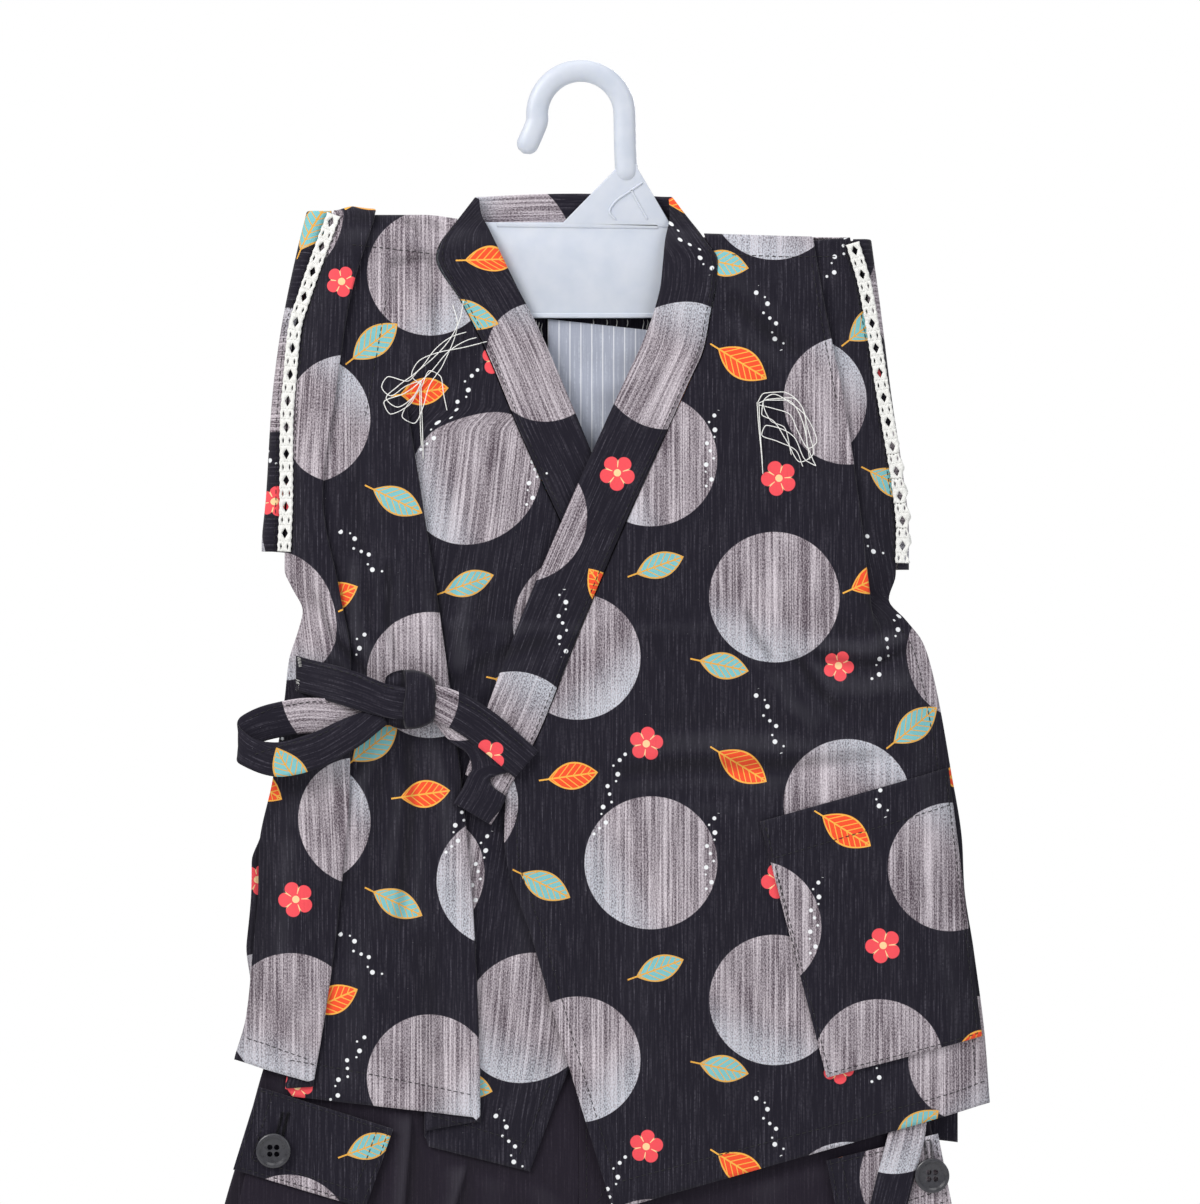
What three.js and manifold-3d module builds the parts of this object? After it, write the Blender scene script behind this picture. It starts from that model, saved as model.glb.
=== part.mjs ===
// A child's jinbei set, a wrap top and shorts, hanging flat on a plastic header hanger.
// Millimetres. +Z is up, -Y is the front, and +X is the wearer's left.
// The origin is the top of the hook's inside, where a rod carries the hanger.
import * as THREE from "three";
import { mergeVertices } from "three/addons/utils/BufferGeometryUtils.js";
import Module from "manifold-3d";

const wasm = await Module();
wasm.setup();

// Cloth and seams
const CLOTH = 1; // thickness of one layer
const BAND = 1.6; // thickness of the folded neckband
const STRAP = 1.2; // thickness of a tie
const SEAM = 0.5; // sideways room at a slanting seam, about 0.3 across it
const CLEAR = 0.35; // room between layers that lie on each other
const STEP = CLOTH + CLEAR; // from one layer's middle to the next
const TURN = STEP / 2; // radius of a fold

// How deep the cloth lies on each side of the middle plane
const SHOULDER_GAP = 0.4; // from the middle plane to a panel's end on the shoulder
const SHOULDER_TURN = 2; // radius of the turn over the shoulder
const SETTLE = 44; // drop over which the rows stop following the shoulder's line
const TAPER = 18; // width over which a panel comes together with the next at its side
const FLAT = [
  { z: -56, depth: 2.4 },
  { z: -250, depth: 2.4 },
  { z: -320, depth: 2.75 },
];
const SIDE_DEPTH = [
  { z: -56, depth: 2 },
  { z: -205, depth: 2 },
  { z: -232, depth: 0.72 },
  { z: -320, depth: 0.72 },
  { z: -350, depth: 2.75 },
];
const BACK_HOLLOW = { depth: 1.2, halfWidth: 66, bottom: -224, fade: 40 };

// Levels of the front's layers over the innermost one
const TUCK_START = 0.4; // the right front under its tuck
const OVER = 3; // the left front over the right one
const BAND_LIFT = 0.3;

// Right front, which lies underneath. Its side edge is at -X.
const RIGHT_RIDGE = [
  { x: -130, z: -56.4 },
  { x: -108, z: -56.6 },
  { x: -90, z: -58.6 },
  { x: -69, z: -58.6 },
  { x: -53, z: -60.4 },
];
const RIGHT_SIDE = [
  { z: -56, x: -108 },
  { z: -72, x: -113.5 },
  { z: -96, x: -121.4 },
  { z: -114, x: -125.6 },
  { z: -141, x: -128 },
  { z: -183, x: -128.9 },
  { z: -214, x: -129.8 },
  { z: -222, x: -126.5 },
  { z: -232, x: -121.9 },
  { z: -240, x: -123.7 },
  { z: -254, x: -128 },
  { z: -270, x: -129.8 },
  { z: -306, x: -135.1 },
  { z: -336, x: -141 },
  { z: -354, x: -141.3 },
  { z: -378, x: -143.4 },
  { z: -409, x: -146.5 },
  { z: -428, x: -151.8 },
];
const RIGHT_FRONT_EDGE = [
  { z: -56, x: -53.6 },
  { z: -60.1, x: -53.6 },
  { z: -71.9, x: -61.4 },
  { z: -77, x: -63 },
  { z: -96, x: -52.3 },
  { z: -117, x: -41.8 },
  { z: -154.7, x: -26 },
  { z: -193, x: -8.5 },
  { z: -311, x: 45 },
  { z: -325, x: 44 },
  { z: -370, x: 27 },
  { z: -404, x: 10 },
  { z: -434.5, x: -5.3 },
  { z: -477, x: -21.7 },
];
// The shoulder tuck runs on as a fold to the hem, and a pleat opens below its stitching.
const RIGHT_FOLDS = [
  { z: -56, tuck: -90, tuckDepth: 9, pleat: -78, pleatDepth: 4 },
  { z: -98, tuck: -101.6, tuckDepth: 9, pleat: -77, pleatDepth: 4 },
  { z: -137, tuck: -107.4, tuckDepth: 8, pleat: -76, pleatDepth: 4 },
  { z: -182, tuck: -113, tuckDepth: 7, pleat: -69.8, pleatDepth: 6 },
  { z: -224, tuck: -105.6, tuckDepth: 7, pleat: -63.3, pleatDepth: 9 },
  { z: -253, tuck: -100.8, tuckDepth: 9, pleat: -59.2, pleatDepth: 11 },
  { z: -306, tuck: -101.2, tuckDepth: 11, pleat: -52.5, pleatDepth: 15 },
  { z: -360, tuck: -105.6, tuckDepth: 12, pleat: -47.5, pleatDepth: 19 },
  { z: -404, tuck: -111.3, tuckDepth: 12, pleat: -45.2, pleatDepth: 21 },
  { z: -438, tuck: -117, tuckDepth: 12, pleat: -44.2, pleatDepth: 24 },
];
const PLEAT_START = { top: -124, full: -138, folded: -154 };
// How much lower than the side each fold's end hangs at the hem
const RIGHT_HEM = { side: 0, tuck: 11, pleat: 27, pleatInside: 35, edge: 49, from: -250, hem: -428 };
const RIGHT_ROWS = [
  0, 0.5, 1.8, 5, 12, 20, 40, 60, 70, 82, 98, 114, 126, 142, 158, 167, 176, 184, 198, 224, 250, 278,
  304, 330, 354, 372,
];

// Left front, which lies on top. Its side edge is at +X.
const LEFT_RIDGE = [
  { x: 53, z: -66.8 },
  { x: 100, z: -68.2 },
  { x: 145, z: -68.8 },
];
const LEFT_SIDE = [
  { z: -68, x: 118 },
  { z: -76, x: 120.4 },
  { z: -89, x: 123.8 },
  { z: -108, x: 126.6 },
  { z: -132, x: 129.8 },
  { z: -159, x: 134 },
  { z: -197, x: 138.2 },
  { z: -216, x: 138 },
  { z: -227, x: 135 },
  { z: -236, x: 142.5 },
  { z: -245.3, x: 149.6 },
  { z: -253.7, x: 152.7 },
  { z: -270, x: 156.6 },
  { z: -300, x: 161.9 },
  { z: -334.6, x: 167.2 },
  { z: -351, x: 167.8 },
  { z: -380, x: 172 },
  { z: -418, x: 176.9 },
  { z: -447.3, x: 179.1 },
];
const LEFT_FRONT_EDGE = [
  { z: -67, x: 53.5 },
  { z: -70.2, x: 54.8 },
  { z: -78.5, x: 59.4 },
  { z: -88.2, x: 59 },
  { z: -100, x: 56.8 },
  { z: -117, x: 53.7 },
  { z: -133, x: 46.6 },
  { z: -200.4, x: 16.3 },
  { z: -246.6, x: -3.1 },
  { z: -286.2, x: -18.9 },
  { z: -313, x: -33.4 },
  { z: -332, x: -33.9 },
  { z: -377.7, x: -21.1 },
  { z: -432.7, x: -5.3 },
  { z: -494, x: 13.6 },
];
const LEFT_FOLDS = [
  { z: -68, tuck: 101.6, tuckDepth: 9 },
  { z: -96, tuck: 106, tuckDepth: 9 },
  { z: -142, tuck: 115.3, tuckDepth: 9 },
  { z: -188, tuck: 121.9, tuckDepth: 9 },
  { z: -228.6, tuck: 127, tuckDepth: 6 },
  { z: -252, tuck: 133.3, tuckDepth: 5 },
];
const LEFT_TUCK_END = { open: -222, ramp: -240, flat: -262 };
const LEFT_HEM = { slope: 0.283, from: -270, hem: -447.3 };
const LEFT_ROWS = [
  0, 0.5, 1.8, 5, 12, 21, 33, 50, 66, 91, 115, 134, 149, 159, 168, 177, 186, 196, 218, 236, 246, 256,
  284, 312, 348, 380.5,
];
const LEFT_RAMP = 35; // width over which the left front rises from its side seam

// Back
const BACK_HEM = { rightZ: -437, leftZ: -466.5 };
const BACK_TOP = [
  { x: -130, z: -56.4, roll: 1 },
  { x: -108, z: -56.6, roll: 1 },
  { x: -90, z: -58.6, roll: 1 },
  { x: -69, z: -58.6, roll: 1 },
  { x: -57, z: -60.6, roll: 1 },
  { x: -50.5, z: -71, roll: 0 },
  { x: -42, z: -75.4, roll: 0 },
  { x: 0, z: -76.4, roll: 0 },
  { x: 38, z: -76, roll: 0 },
  { x: 50, z: -71.4, roll: 0 },
  { x: 57, z: -67.6, roll: 1 },
  { x: 100, z: -68.2, roll: 1 },
  { x: 145, z: -68.8, roll: 1 },
];
const BACK_COLUMNS = [0, 0.04, 0.09, 0.15, 0.22, 0.26, 0.3, 0.36, 0.45, 0.54, 0.6, 0.65, 0.69, 0.75, 0.85, 0.92, 0.96, 1];
const BACK_ROWS = [0, 0.5, 1.8, 5, 16, 40, 80, 120, 150, 165, 177, 190, 215, 250, 280, 310, 345, 372];
const BACK_PEEK = { x: 3.4, top: -330, bottom: -398 }; // the back shows beside the front's edge

// Neckband: each row is a pair of points, on its seam and on its folded inner edge.
const UNDER_BAND = [
  { seamX: -46.4, seamZ: -50.8, innerX: -44.6, innerZ: -51.4 },
  { seamX: -53.3, seamZ: -60.1, innerX: -43.6, innerZ: -58 },
  { seamX: -61.3, seamZ: -71.9, innerX: -40.2, innerZ: -65 },
  { seamX: -62.3, seamZ: -77, innerX: -36.5, innerZ: -72.5 },
  { seamX: -52.3, seamZ: -96, innerX: -28, innerZ: -90 },
  { seamX: -41.8, seamZ: -116.8, innerX: -18.5, innerZ: -108.3 },
  { seamX: -26, seamZ: -154.7, innerX: -3.4, innerZ: -143 },
  { seamX: -8.5, seamZ: -193, innerX: 13.8, innerZ: -184 },
  { seamX: 18.3, seamZ: -252, innerX: 41, innerZ: -243 },
  { seamX: 45, seamZ: -311, innerX: 67.5, innerZ: -302 },
];
const OVER_BAND = [
  { seamX: 40.2, seamZ: -50.8, innerX: 38.6, innerZ: -51.6 },
  { seamX: 47.3, seamZ: -60.5, innerX: 38.9, innerZ: -59.5 },
  { seamX: 54.6, seamZ: -70.2, innerX: 36.8, innerZ: -70.5 },
  { seamX: 59.4, seamZ: -79, innerX: 35.9, innerZ: -80 },
  { seamX: 59, seamZ: -88.2, innerX: 35, innerZ: -89 },
  { seamX: 56.8, seamZ: -100.1, innerX: 32.8, innerZ: -98.6 },
  { seamX: 53.7, seamZ: -116.8, innerX: 27.9, innerZ: -112.5 },
  { seamX: 46.6, seamZ: -133.1, innerX: 20.6, innerZ: -128.4 },
  { seamX: 35.6, seamZ: -157.5, innerX: 11.5, innerZ: -148 },
  { seamX: 16.3, seamZ: -200.4, innerX: -7, innerZ: -189.7 },
  { seamX: -3.1, seamZ: -246.6, innerX: -27.2, innerZ: -237.6 },
  { seamX: -18.9, seamZ: -286.2, innerX: -41.6, innerZ: -276.5 },
  { seamX: -33.4, seamZ: -313.4, innerX: -50.4, innerZ: -303.4 },
];
const BAND_TOP = { z: -50, reach: 14, depth: 1.1, clear: -55, turn: 5, besidePlate: 2.3 };
const BACK_BAND = {
  topLeft: -45.8, topRight: 39.6, topZ: -50.4, crown: 1.6,
  bottomLeft: -52.6, bottomRight: 51.2, bottomZ: -75.8, endRise: 14.6, lowEnd: -5.6, depth: 2.95,
};
const FACING = { left: -20, right: 34, leftTop: -106.6, rightTop: -112.5, bottom: -178, depth: 2.25 };

// Sleeves, folded back behind the top along a line just outside the armhole
const SLEEVE_SEAM = 0.8; // sideways room at the armhole
const SLEEVE_LAYER = 0.75; // half the distance between a flat sleeve's two layers
const SLEEVE_FRONT = 1; // how far forward its middle lies in front
const SLEEVE_BEHIND = 5.9; // how far back its middle lies behind
const SLEEVE_LEVELS = [0, 0.15, 0.3, 0.45, 0.6, 0.74, 0.87, 1];
const SLEEVE_REACH = 108; // from the fold to the cuff
const RIGHT_SLEEVE = {
  fold: [
    { z: -56, x: -120.4 },
    { z: -72, x: -124.4 },
    { z: -96, x: -129.6 },
    { z: -114, x: -132.8 },
    { z: -141, x: -136 },
    { z: -183, x: -138.6 },
    { z: -204, x: -140.4 },
    { z: -214, x: -140.2 },
  ],
  top: -57.6, bottom: -206, endTop: -66, endBottom: -214, out: -1, seam: RIGHT_SIDE,
};
const LEFT_SLEEVE = {
  fold: [
    { z: -68, x: 127.6 },
    { z: -78.5, x: 129 },
    { z: -96, x: 131.4 },
    { z: -139, x: 136.8 },
    { z: -175, x: 142.1 },
    { z: -197, x: 144.3 },
    { z: -220, x: 144.3 },
  ],
  top: -70, bottom: -214, endTop: -78, endBottom: -222, out: 1, seam: LEFT_SIDE,
};

// Lace over the armhole seams
const LACE = { width: 5.8, pitch: 10.8, holeAcross: 2.7, holeAlong: 4.6, count: 13, step: 5.4 };
const RIGHT_LACE = [
  { x: -108.2, z: -58.4 },
  { x: -115.3, z: -77.7 },
  { x: -121.4, z: -95.3 },
  { x: -125.2, z: -108 },
  { x: -127.4, z: -130.5 },
  { x: -128.8, z: -150.3 },
  { x: -129, z: -183.3 },
  { x: -129.9, z: -206 },
];
const LEFT_LACE = [
  { x: 119, z: -71 },
  { x: 124.3, z: -89.1 },
  { x: 127.8, z: -108 },
  { x: 131.6, z: -132.2 },
  { x: 136.2, z: -159.1 },
  { x: 139.2, z: -178 },
  { x: 141, z: -197 },
  { x: 140.6, z: -211 },
];

// Patch pocket on the left front
const POCKET_EASE = 0.15; // extra room under it
const POCKET = {
  topLeft: { x: 78.3, z: -324 }, topRight: { x: 161, z: -300.6 },
  bottomLeft: { x: 107.4, z: -435.8 }, bottomRight: { x: 175.6, z: -418 },
};

// Tie at the right side, in a half bow
const KNOT = { x: -74.4, y: -10.7, z: -270.6, halfWidth: 12, halfDepth: 5.2, halfHeight: 12.5 };
const TIE_STRAP = [
  { x: -124.4, topZ: -251.6, bottomZ: -267 },
  { x: -119, topZ: -253, bottomZ: -268.6 },
  { x: -113, topZ: -254.4, bottomZ: -270.4 },
  { x: -106, topZ: -256, bottomZ: -272.4 },
  { x: -97, topZ: -258.8, bottomZ: -275.2 },
  { x: -90, topZ: -262.4, bottomZ: -276.4 },
  { x: -83.6, topZ: -264.8, bottomZ: -275 },
];
const TIE_LOOP = [
  { x: -86.6, y: -9.8, z: -274, width: 11 },
  { x: -100, y: -9.5, z: -278.6, width: 15.5 },
  { x: -118, y: -9.2, z: -277.6, width: 15.5 },
  { x: -134, y: -9.2, z: -280, width: 15.2 },
  { x: -144.5, y: -9.8, z: -284, width: 14 },
  { x: -149, y: -12, z: -288.6, width: 12.6 },
  { x: -145.5, y: -14.2, z: -293, width: 12.6 },
  { x: -132, y: -15.2, z: -296.6, width: 15 },
  { x: -116, y: -15, z: -293, width: 15.5 },
  { x: -101, y: -13.8, z: -285.6, width: 14 },
  { x: -86.4, y: -12.3, z: -277.4, width: 9 },
];
const TIE_FRONT_TAIL = [
  { x: -61, y: -11.6, z: -272.8, width: 13 },
  { x: -52, y: -10.8, z: -276.6, width: 16 },
  { x: -42, y: -9.8, z: -283.2, width: 16.2 },
  { x: -32, y: -9.5, z: -291.6, width: 15.8 },
  { x: -23.6, y: -9.4, z: -299, width: 15.6 },
];
const TIE_REAR_TAIL = [
  { x: -61.4, y: -9.1, z: -276.2, width: 10 },
  { x: -52, y: -8.8, z: -283.2, width: 15 },
  { x: -43, y: -8.1, z: -290, width: 15.6 },
  { x: -38.6, y: -8, z: -300.4, width: 18 },
  { x: -42, y: -8, z: -311.4, width: 19 },
  { x: -47.4, y: -8, z: -320.6, width: 19 },
];
const INNER_TIE = [
  { x: 146, y: -3, z: -404, width: 16 },
  { x: 145, y: -3, z: -440, width: 16 },
  { x: 143.4, y: -3.6, z: -454, width: 16 },
  { x: 142.8, y: -4.2, z: -459, width: 16 },
  { x: 140.8, y: -5.5, z: -467.5, width: 16 },
  { x: 136.2, y: -5.5, z: -485, width: 16 },
  { x: 132.6, y: -5.5, z: -500, width: 16 },
  { x: 129, y: -5.5, z: -514, width: 16 },
];

// Shorts, which hang inside the top
const SHORTS_DEPTH = 1.35;
const CENTRE = 0.5;
const LEGS = [
  { z: -343.4, right: -101, left: 103, split: 0 },
  { z: -376, right: -117, left: 122, split: 0 },
  { z: -404, right: -128, left: 136, split: 0 },
  { z: -431, right: -138.4, left: 147, split: 0 },
  { z: -462, right: -147, left: 154, split: 0 },
  { z: -493, right: -156.2, left: 161, split: 0 },
  { z: -535, right: -166, left: 170, split: 0 },
  { z: -575, right: -172.6, left: 176, split: 11.5 },
  { z: -615, right: -178, left: 181, split: 23 },
];
const WAISTBAND = { top: -318, bottom: -343, right: -101, left: 103, waves: 11, wave: 0.3 };
const RIGHT_FLAP = {
  topLeft: { x: -140.8, z: -442 }, topRight: { x: -82.3, z: -460.4 },
  bottomLeft: { x: -152, z: -476.2 }, bottomRight: { x: -94.2, z: -493.4 },
};
const LEFT_FLAP = {
  topLeft: { x: 107.6, z: -477.4 }, topRight: { x: 157.4, z: -466 },
  bottomLeft: { x: 114, z: -505.4 }, bottomRight: { x: 163.4, z: -492 },
};
const CARGO_POCKET = { inset: 0.06, top: 0.35, drop: 78 };
const BUTTON = { radius: 7.5, thick: 2.6, rim: 1, dish: 0.7, holeRadius: 0.95, holeSpace: 2.5 };
const RIGHT_BUTTON = { x: -135.5, z: -469.7 };
const LEFT_BUTTON = { x: 154.6, z: -480.8 };

// Hanger
const HOOK = {
  inside: 14.3, bar: 9.7, thick: 6, footX: 20, footZ: -42, tipX: -23.4, tipZ: -27.4, sides: 10, steps: 26,
};
const PLATE = [
  { x: -94, z: -61.2 },
  { x: -67, z: -61.4 },
  { x: -61, z: -67 },
  { x: -49, z: -69 },
  { x: -43.4, z: -61.6 },
  { x: 0, z: -61.6 },
  { x: 41.5, z: -62.8 },
  { x: 47, z: -74 },
  { x: 60, z: -75 },
  { x: 66, z: -71 },
  { x: 90, z: -71.2 },
  { x: 90, z: -80 },
  { x: 60, z: -103.6 },
  { x: -58, z: -103.6 },
  { x: -94, z: -74 },
];
const GUSSET = [
  { x: 15.2, z: -36 },
  { x: 15.4, z: -38 },
  { x: -8.6, z: -62.6 },
  { x: 40.2, z: -64 },
  { x: 24.9, z: -38 },
  { x: 24.9, z: -36 },
];
const PLATE_THICK = 2.2;
const RIM = { thick: 3, wide: 2.2, topLeft: -37, topRight: 34, bottomLeft: -19, bottomRight: 27 };

const COLOURS = {
  print: 0x28262c, plain: 0x1b191d, lace: 0xe9e9e4, facing: 0xb9bdc6, button: 0x2a2a2e,
  hanger: 0xd8dce4,
};

const mix = (a, b, share) => a + (b - a) * share;
const hold = (value) => Math.min(1, Math.max(0, value));

/** An even change from 0 to 1 that starts and ends level. */
function ease(share) {
  const held = hold(share);
  return held * held * (3 - 2 * held);
}

/** The named column of a table, between its rows, at a place along `by`. */
function at(table, column, place, by = "z") {
  const rising = table[table.length - 1][by] > table[0][by];
  const past = (row) => (rising ? row[by] >= place : row[by] <= place);
  const next = table.findIndex(past);
  if (next === 0) return table[0][column];
  if (next === -1) return table[table.length - 1][column];
  const before = table[next - 1];
  const after = table[next];
  const share = (place - before[by]) / (after[by] - before[by]);
  return mix(before[column], after[column], share);
}

/** How far the surface has turned from lying on the shoulder to hanging down. */
function rollOver(drop) {
  if (drop >= SHOULDER_TURN) return { out: 1, up: 0 };
  const up = 1 - hold(drop / SHOULDER_TURN);
  return { out: Math.sqrt(1 - up * up), up };
}

/** A point of the front's cloth, `level` outside its innermost layer. */
function frontPoint(x, z, side, ridge, level) {
  const flat = at(FLAT, "depth", z);
  const edge = at(SIDE_DEPTH, "depth", z);
  const depth = mix(edge, flat, ease(Math.abs(x - side) / TAPER));
  const roll = rollOver(ridge - z);
  const out = SHOULDER_GAP + (depth - SHOULDER_GAP + level) * roll.out;
  return new THREE.Vector3(x, -out, z + level * roll.up);
}

/** A closed wall of even thickness on a grid of points, its middle surface. */
function wall(rows, thickness = CLOTH) {
  const down = rows.length;
  const across = rows[0].length;
  const positions = [];
  const pick = (r, c) =>
    rows[Math.min(down - 1, Math.max(0, r))][Math.min(across - 1, Math.max(0, c))];
  for (const side of [-0.5, 0.5])
    for (let r = 0; r < down; r++)
      for (let c = 0; c < across; c++) {
        const along = pick(r, c + 1).clone().sub(pick(r, c - 1));
        const below = pick(r + 1, c).clone().sub(pick(r - 1, c));
        const normal = along.cross(below).normalize();
        const point = rows[r][c].clone().addScaledVector(normal, side * thickness);
        positions.push(point.x, point.y, point.z);
      }
  const faces = [];
  const quad = (a, b, c, d) => faces.push(a, b, c, a, c, d);
  const near = (r, c) => r * across + c;
  const far = (r, c) => down * across + near(r, c);
  for (let r = 0; r + 1 < down; r++)
    for (let c = 0; c + 1 < across; c++) {
      quad(near(r, c), near(r, c + 1), near(r + 1, c + 1), near(r + 1, c));
      quad(far(r, c), far(r + 1, c), far(r + 1, c + 1), far(r, c + 1));
    }
  for (let c = 0; c + 1 < across; c++) {
    quad(near(0, c + 1), near(0, c), far(0, c), far(0, c + 1));
    quad(near(down - 1, c), near(down - 1, c + 1), far(down - 1, c + 1), far(down - 1, c));
  }
  for (let r = 0; r + 1 < down; r++) {
    quad(near(r, 0), near(r + 1, 0), far(r + 1, 0), far(r, 0));
    quad(near(r + 1, across - 1), near(r, across - 1), far(r, across - 1), far(r + 1, across - 1));
  }
  return facingOut(positions, faces);
}

/** A geometry of these triangles, turned round if they enclose a negative volume. */
function facingOut(positions, faces) {
  const corner = (i) => new THREE.Vector3().fromArray(positions, 3 * i);
  let volume = 0;
  for (let i = 0; i < faces.length; i += 3)
    volume += corner(faces[i]).dot(corner(faces[i + 1]).cross(corner(faces[i + 2])));
  const geometry = new THREE.BufferGeometry();
  geometry.setAttribute("position", new THREE.Float32BufferAttribute(positions, 3));
  geometry.setIndex(volume < 0 ? faces.reverse() : faces);
  geometry.computeVertexNormals();
  return geometry;
}

/** Points across a fold: out over its edge, back underneath, and out again. */
function foldAcross(edge, depth, top, height, folded) {
  const bend = [0, 0.25, 0.5, 0.75, 1].map((share) => share * Math.PI);
  const outer = bend.map((angle) => ({
    x: edge - TURN + TURN * Math.sin(angle),
    fall: TURN * (1 - Math.cos(angle)),
  }));
  const inner = bend.map((angle) => ({
    x: edge - depth + TURN - TURN * Math.sin(angle),
    fall: STEP + TURN * (1 - Math.cos(angle)),
  }));
  const points = [...outer, ...inner];
  const middle = (points.length - 1) / 2;
  return points.map(({ x, fall }, i) => ({
    x: mix(edge + ((i - middle) * Math.abs(i - middle)) / 8, x, folded),
    level: top - fall * height,
  }));
}

/** Evenly spaced points between two, with both ends. */
function stretch(from, to, count) {
  const points = [];
  for (let i = 0; i < count; i++) {
    const share = i / (count - 1);
    points.push({ x: mix(from.x, to.x, share), level: mix(from.level, to.level, share) });
  }
  return points;
}

/** The right front's row: its side, its folded tuck, its pleat and its front edge. */
function rightRow(drop) {
  const top = RIGHT_RIDGE[0].z;
  const nominal = top - drop;
  const fade = ease((RIGHT_HEM.from - nominal) / (RIGHT_HEM.from - RIGHT_HEM.hem));
  const height = (name) => nominal - fade * RIGHT_HEM[name];
  const side = at(RIGHT_SIDE, "x", nominal);
  const tuck = at(RIGHT_FOLDS, "tuck", height("tuck"));
  const tuckDepth = at(RIGHT_FOLDS, "tuckDepth", height("tuck"));
  const pleat = at(RIGHT_FOLDS, "pleat", height("pleat"));
  const pleatDepth = at(RIGHT_FOLDS, "pleatDepth", height("pleat"));
  const settle = 1 - ease(drop / SETTLE);
  const edgeRidge = at(RIGHT_RIDGE, "z", at(RIGHT_FRONT_EDGE, "x", nominal), "x");
  const edge = at(RIGHT_FRONT_EDGE, "x", height("edge") + (edgeRidge - top) * settle) - SEAM;
  const opened = ease((PLEAT_START.top - nominal) / (PLEAT_START.top - PLEAT_START.full));
  const folded = ease((PLEAT_START.full - nominal) / (PLEAT_START.full - PLEAT_START.folded));
  const start = TUCK_START * opened;
  const flap = start + 2 * STEP;
  const tuckFold = foldAcross(tuck, tuckDepth, flap, 1, 1);
  const pleatFold = foldAcross(pleat, pleatDepth, 2 * STEP * opened, opened, folded);
  const ramp = tuck - tuckDepth - side;
  const flapPoints = stretch({ x: side, level: 0 }, tuckFold[0], 7).slice(0, -1);
  for (const point of flapPoints) point.level = flap * ease((point.x - side) / ramp);
  const middle = stretch(tuckFold[tuckFold.length - 1], pleatFold[0], 6).slice(1, -1);
  const last = stretch(pleatFold[pleatFold.length - 1], { x: edge, level: 0 }, 6).slice(1);
  const hang = (list, from, to) =>
    list.map((point, i) => ({ ...point, low: mix(from, to, list.length > 1 ? i / (list.length - 1) : 1) }));
  const across = [
    ...hang(flapPoints, 0, RIGHT_HEM.tuck * 0.85),
    ...hang(tuckFold, RIGHT_HEM.tuck, RIGHT_HEM.tuck + 2),
    ...hang(middle, RIGHT_HEM.tuck + 5, RIGHT_HEM.pleat * 0.85),
    ...hang(pleatFold, RIGHT_HEM.pleat, RIGHT_HEM.pleatInside),
    ...hang(last, RIGHT_HEM.pleatInside + 3, RIGHT_HEM.edge),
  ];
  return across.map(({ x, level, low }) => {
    const ridge = at(RIGHT_RIDGE, "z", x, "x");
    const z = nominal - fade * low + (ridge - top) * settle;
    return frontPoint(x, z, side, ridge, level);
  });
}

/** The left front's row: its front edge, its tuck by the armhole and its side. */
function leftRow(drop) {
  const top = LEFT_RIDGE[0].z;
  const nominal = top - drop;
  const fade = ease((LEFT_HEM.from - nominal) / (LEFT_HEM.from - LEFT_HEM.hem));
  const side = at(LEFT_SIDE, "x", nominal);
  const slope = LEFT_HEM.slope * fade;
  const guess = at(LEFT_FRONT_EDGE, "x", nominal - slope * (side - 10));
  const edge = at(LEFT_FRONT_EDGE, "x", nominal - slope * (side - guess)) + SEAM;
  const tuck = at(LEFT_FOLDS, "tuck", nominal);
  const tuckDepth = at(LEFT_FOLDS, "tuckDepth", nominal);
  const shallow = ease((nominal - LEFT_TUCK_END.flat) / (LEFT_TUCK_END.ramp - LEFT_TUCK_END.flat));
  const folded = ease((nominal - LEFT_TUCK_END.ramp) / (LEFT_TUCK_END.open - LEFT_TUCK_END.ramp));
  const raise = OVER * ease(drop / 25);
  const rise = (x) => mix(raise * ease((side - x) / LEFT_RAMP), raise, shallow);
  const fold = foldAcross(tuck, tuckDepth, 0, shallow, folded);
  for (const point of fold) point.level += rise(point.x);
  const first = stretch({ x: edge, level: 0 }, fold[0], 10).slice(0, -1);
  for (const point of first) point.level = rise(point.x);
  const last = stretch(fold[fold.length - 1], { x: side, level: 0 }, 6).slice(1);
  for (const point of last) point.level = mix(rise(point.x), point.level, shallow);
  const settle = 1 - ease(drop / SETTLE);
  return [...first, ...fold, ...last].map(({ x, level }) => {
    const ridge = at(LEFT_RIDGE, "z", x, "x");
    const z = nominal - slope * (side - x) + (ridge - top) * settle;
    return frontPoint(x, z, side, ridge, level);
  });
}

/** The level of the left front's cloth below its tuck. */
function leftLevel(x, side) {
  return OVER * ease((side - x) / LEFT_RAMP);
}

/** The depth of the right front's outermost layer. */
function rightSurface(x, z) {
  const side = at(RIGHT_SIDE, "x", z);
  const tuck = at(RIGHT_FOLDS, "tuck", z);
  const inside = tuck - at(RIGHT_FOLDS, "tuckDepth", z);
  const pleat = at(RIGHT_FOLDS, "pleat", z);
  const flap = TUCK_START + 2 * STEP;
  let level = 0;
  if (x <= tuck) level = flap * ease((x - side) / (inside - side));
  else if (x <= pleat) level = mix(TUCK_START, 2 * STEP, (x - inside) / (pleat - inside));
  return frontPoint(x, z, side, RIGHT_RIDGE[0].z, level).y - CLOTH / 2;
}

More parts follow.
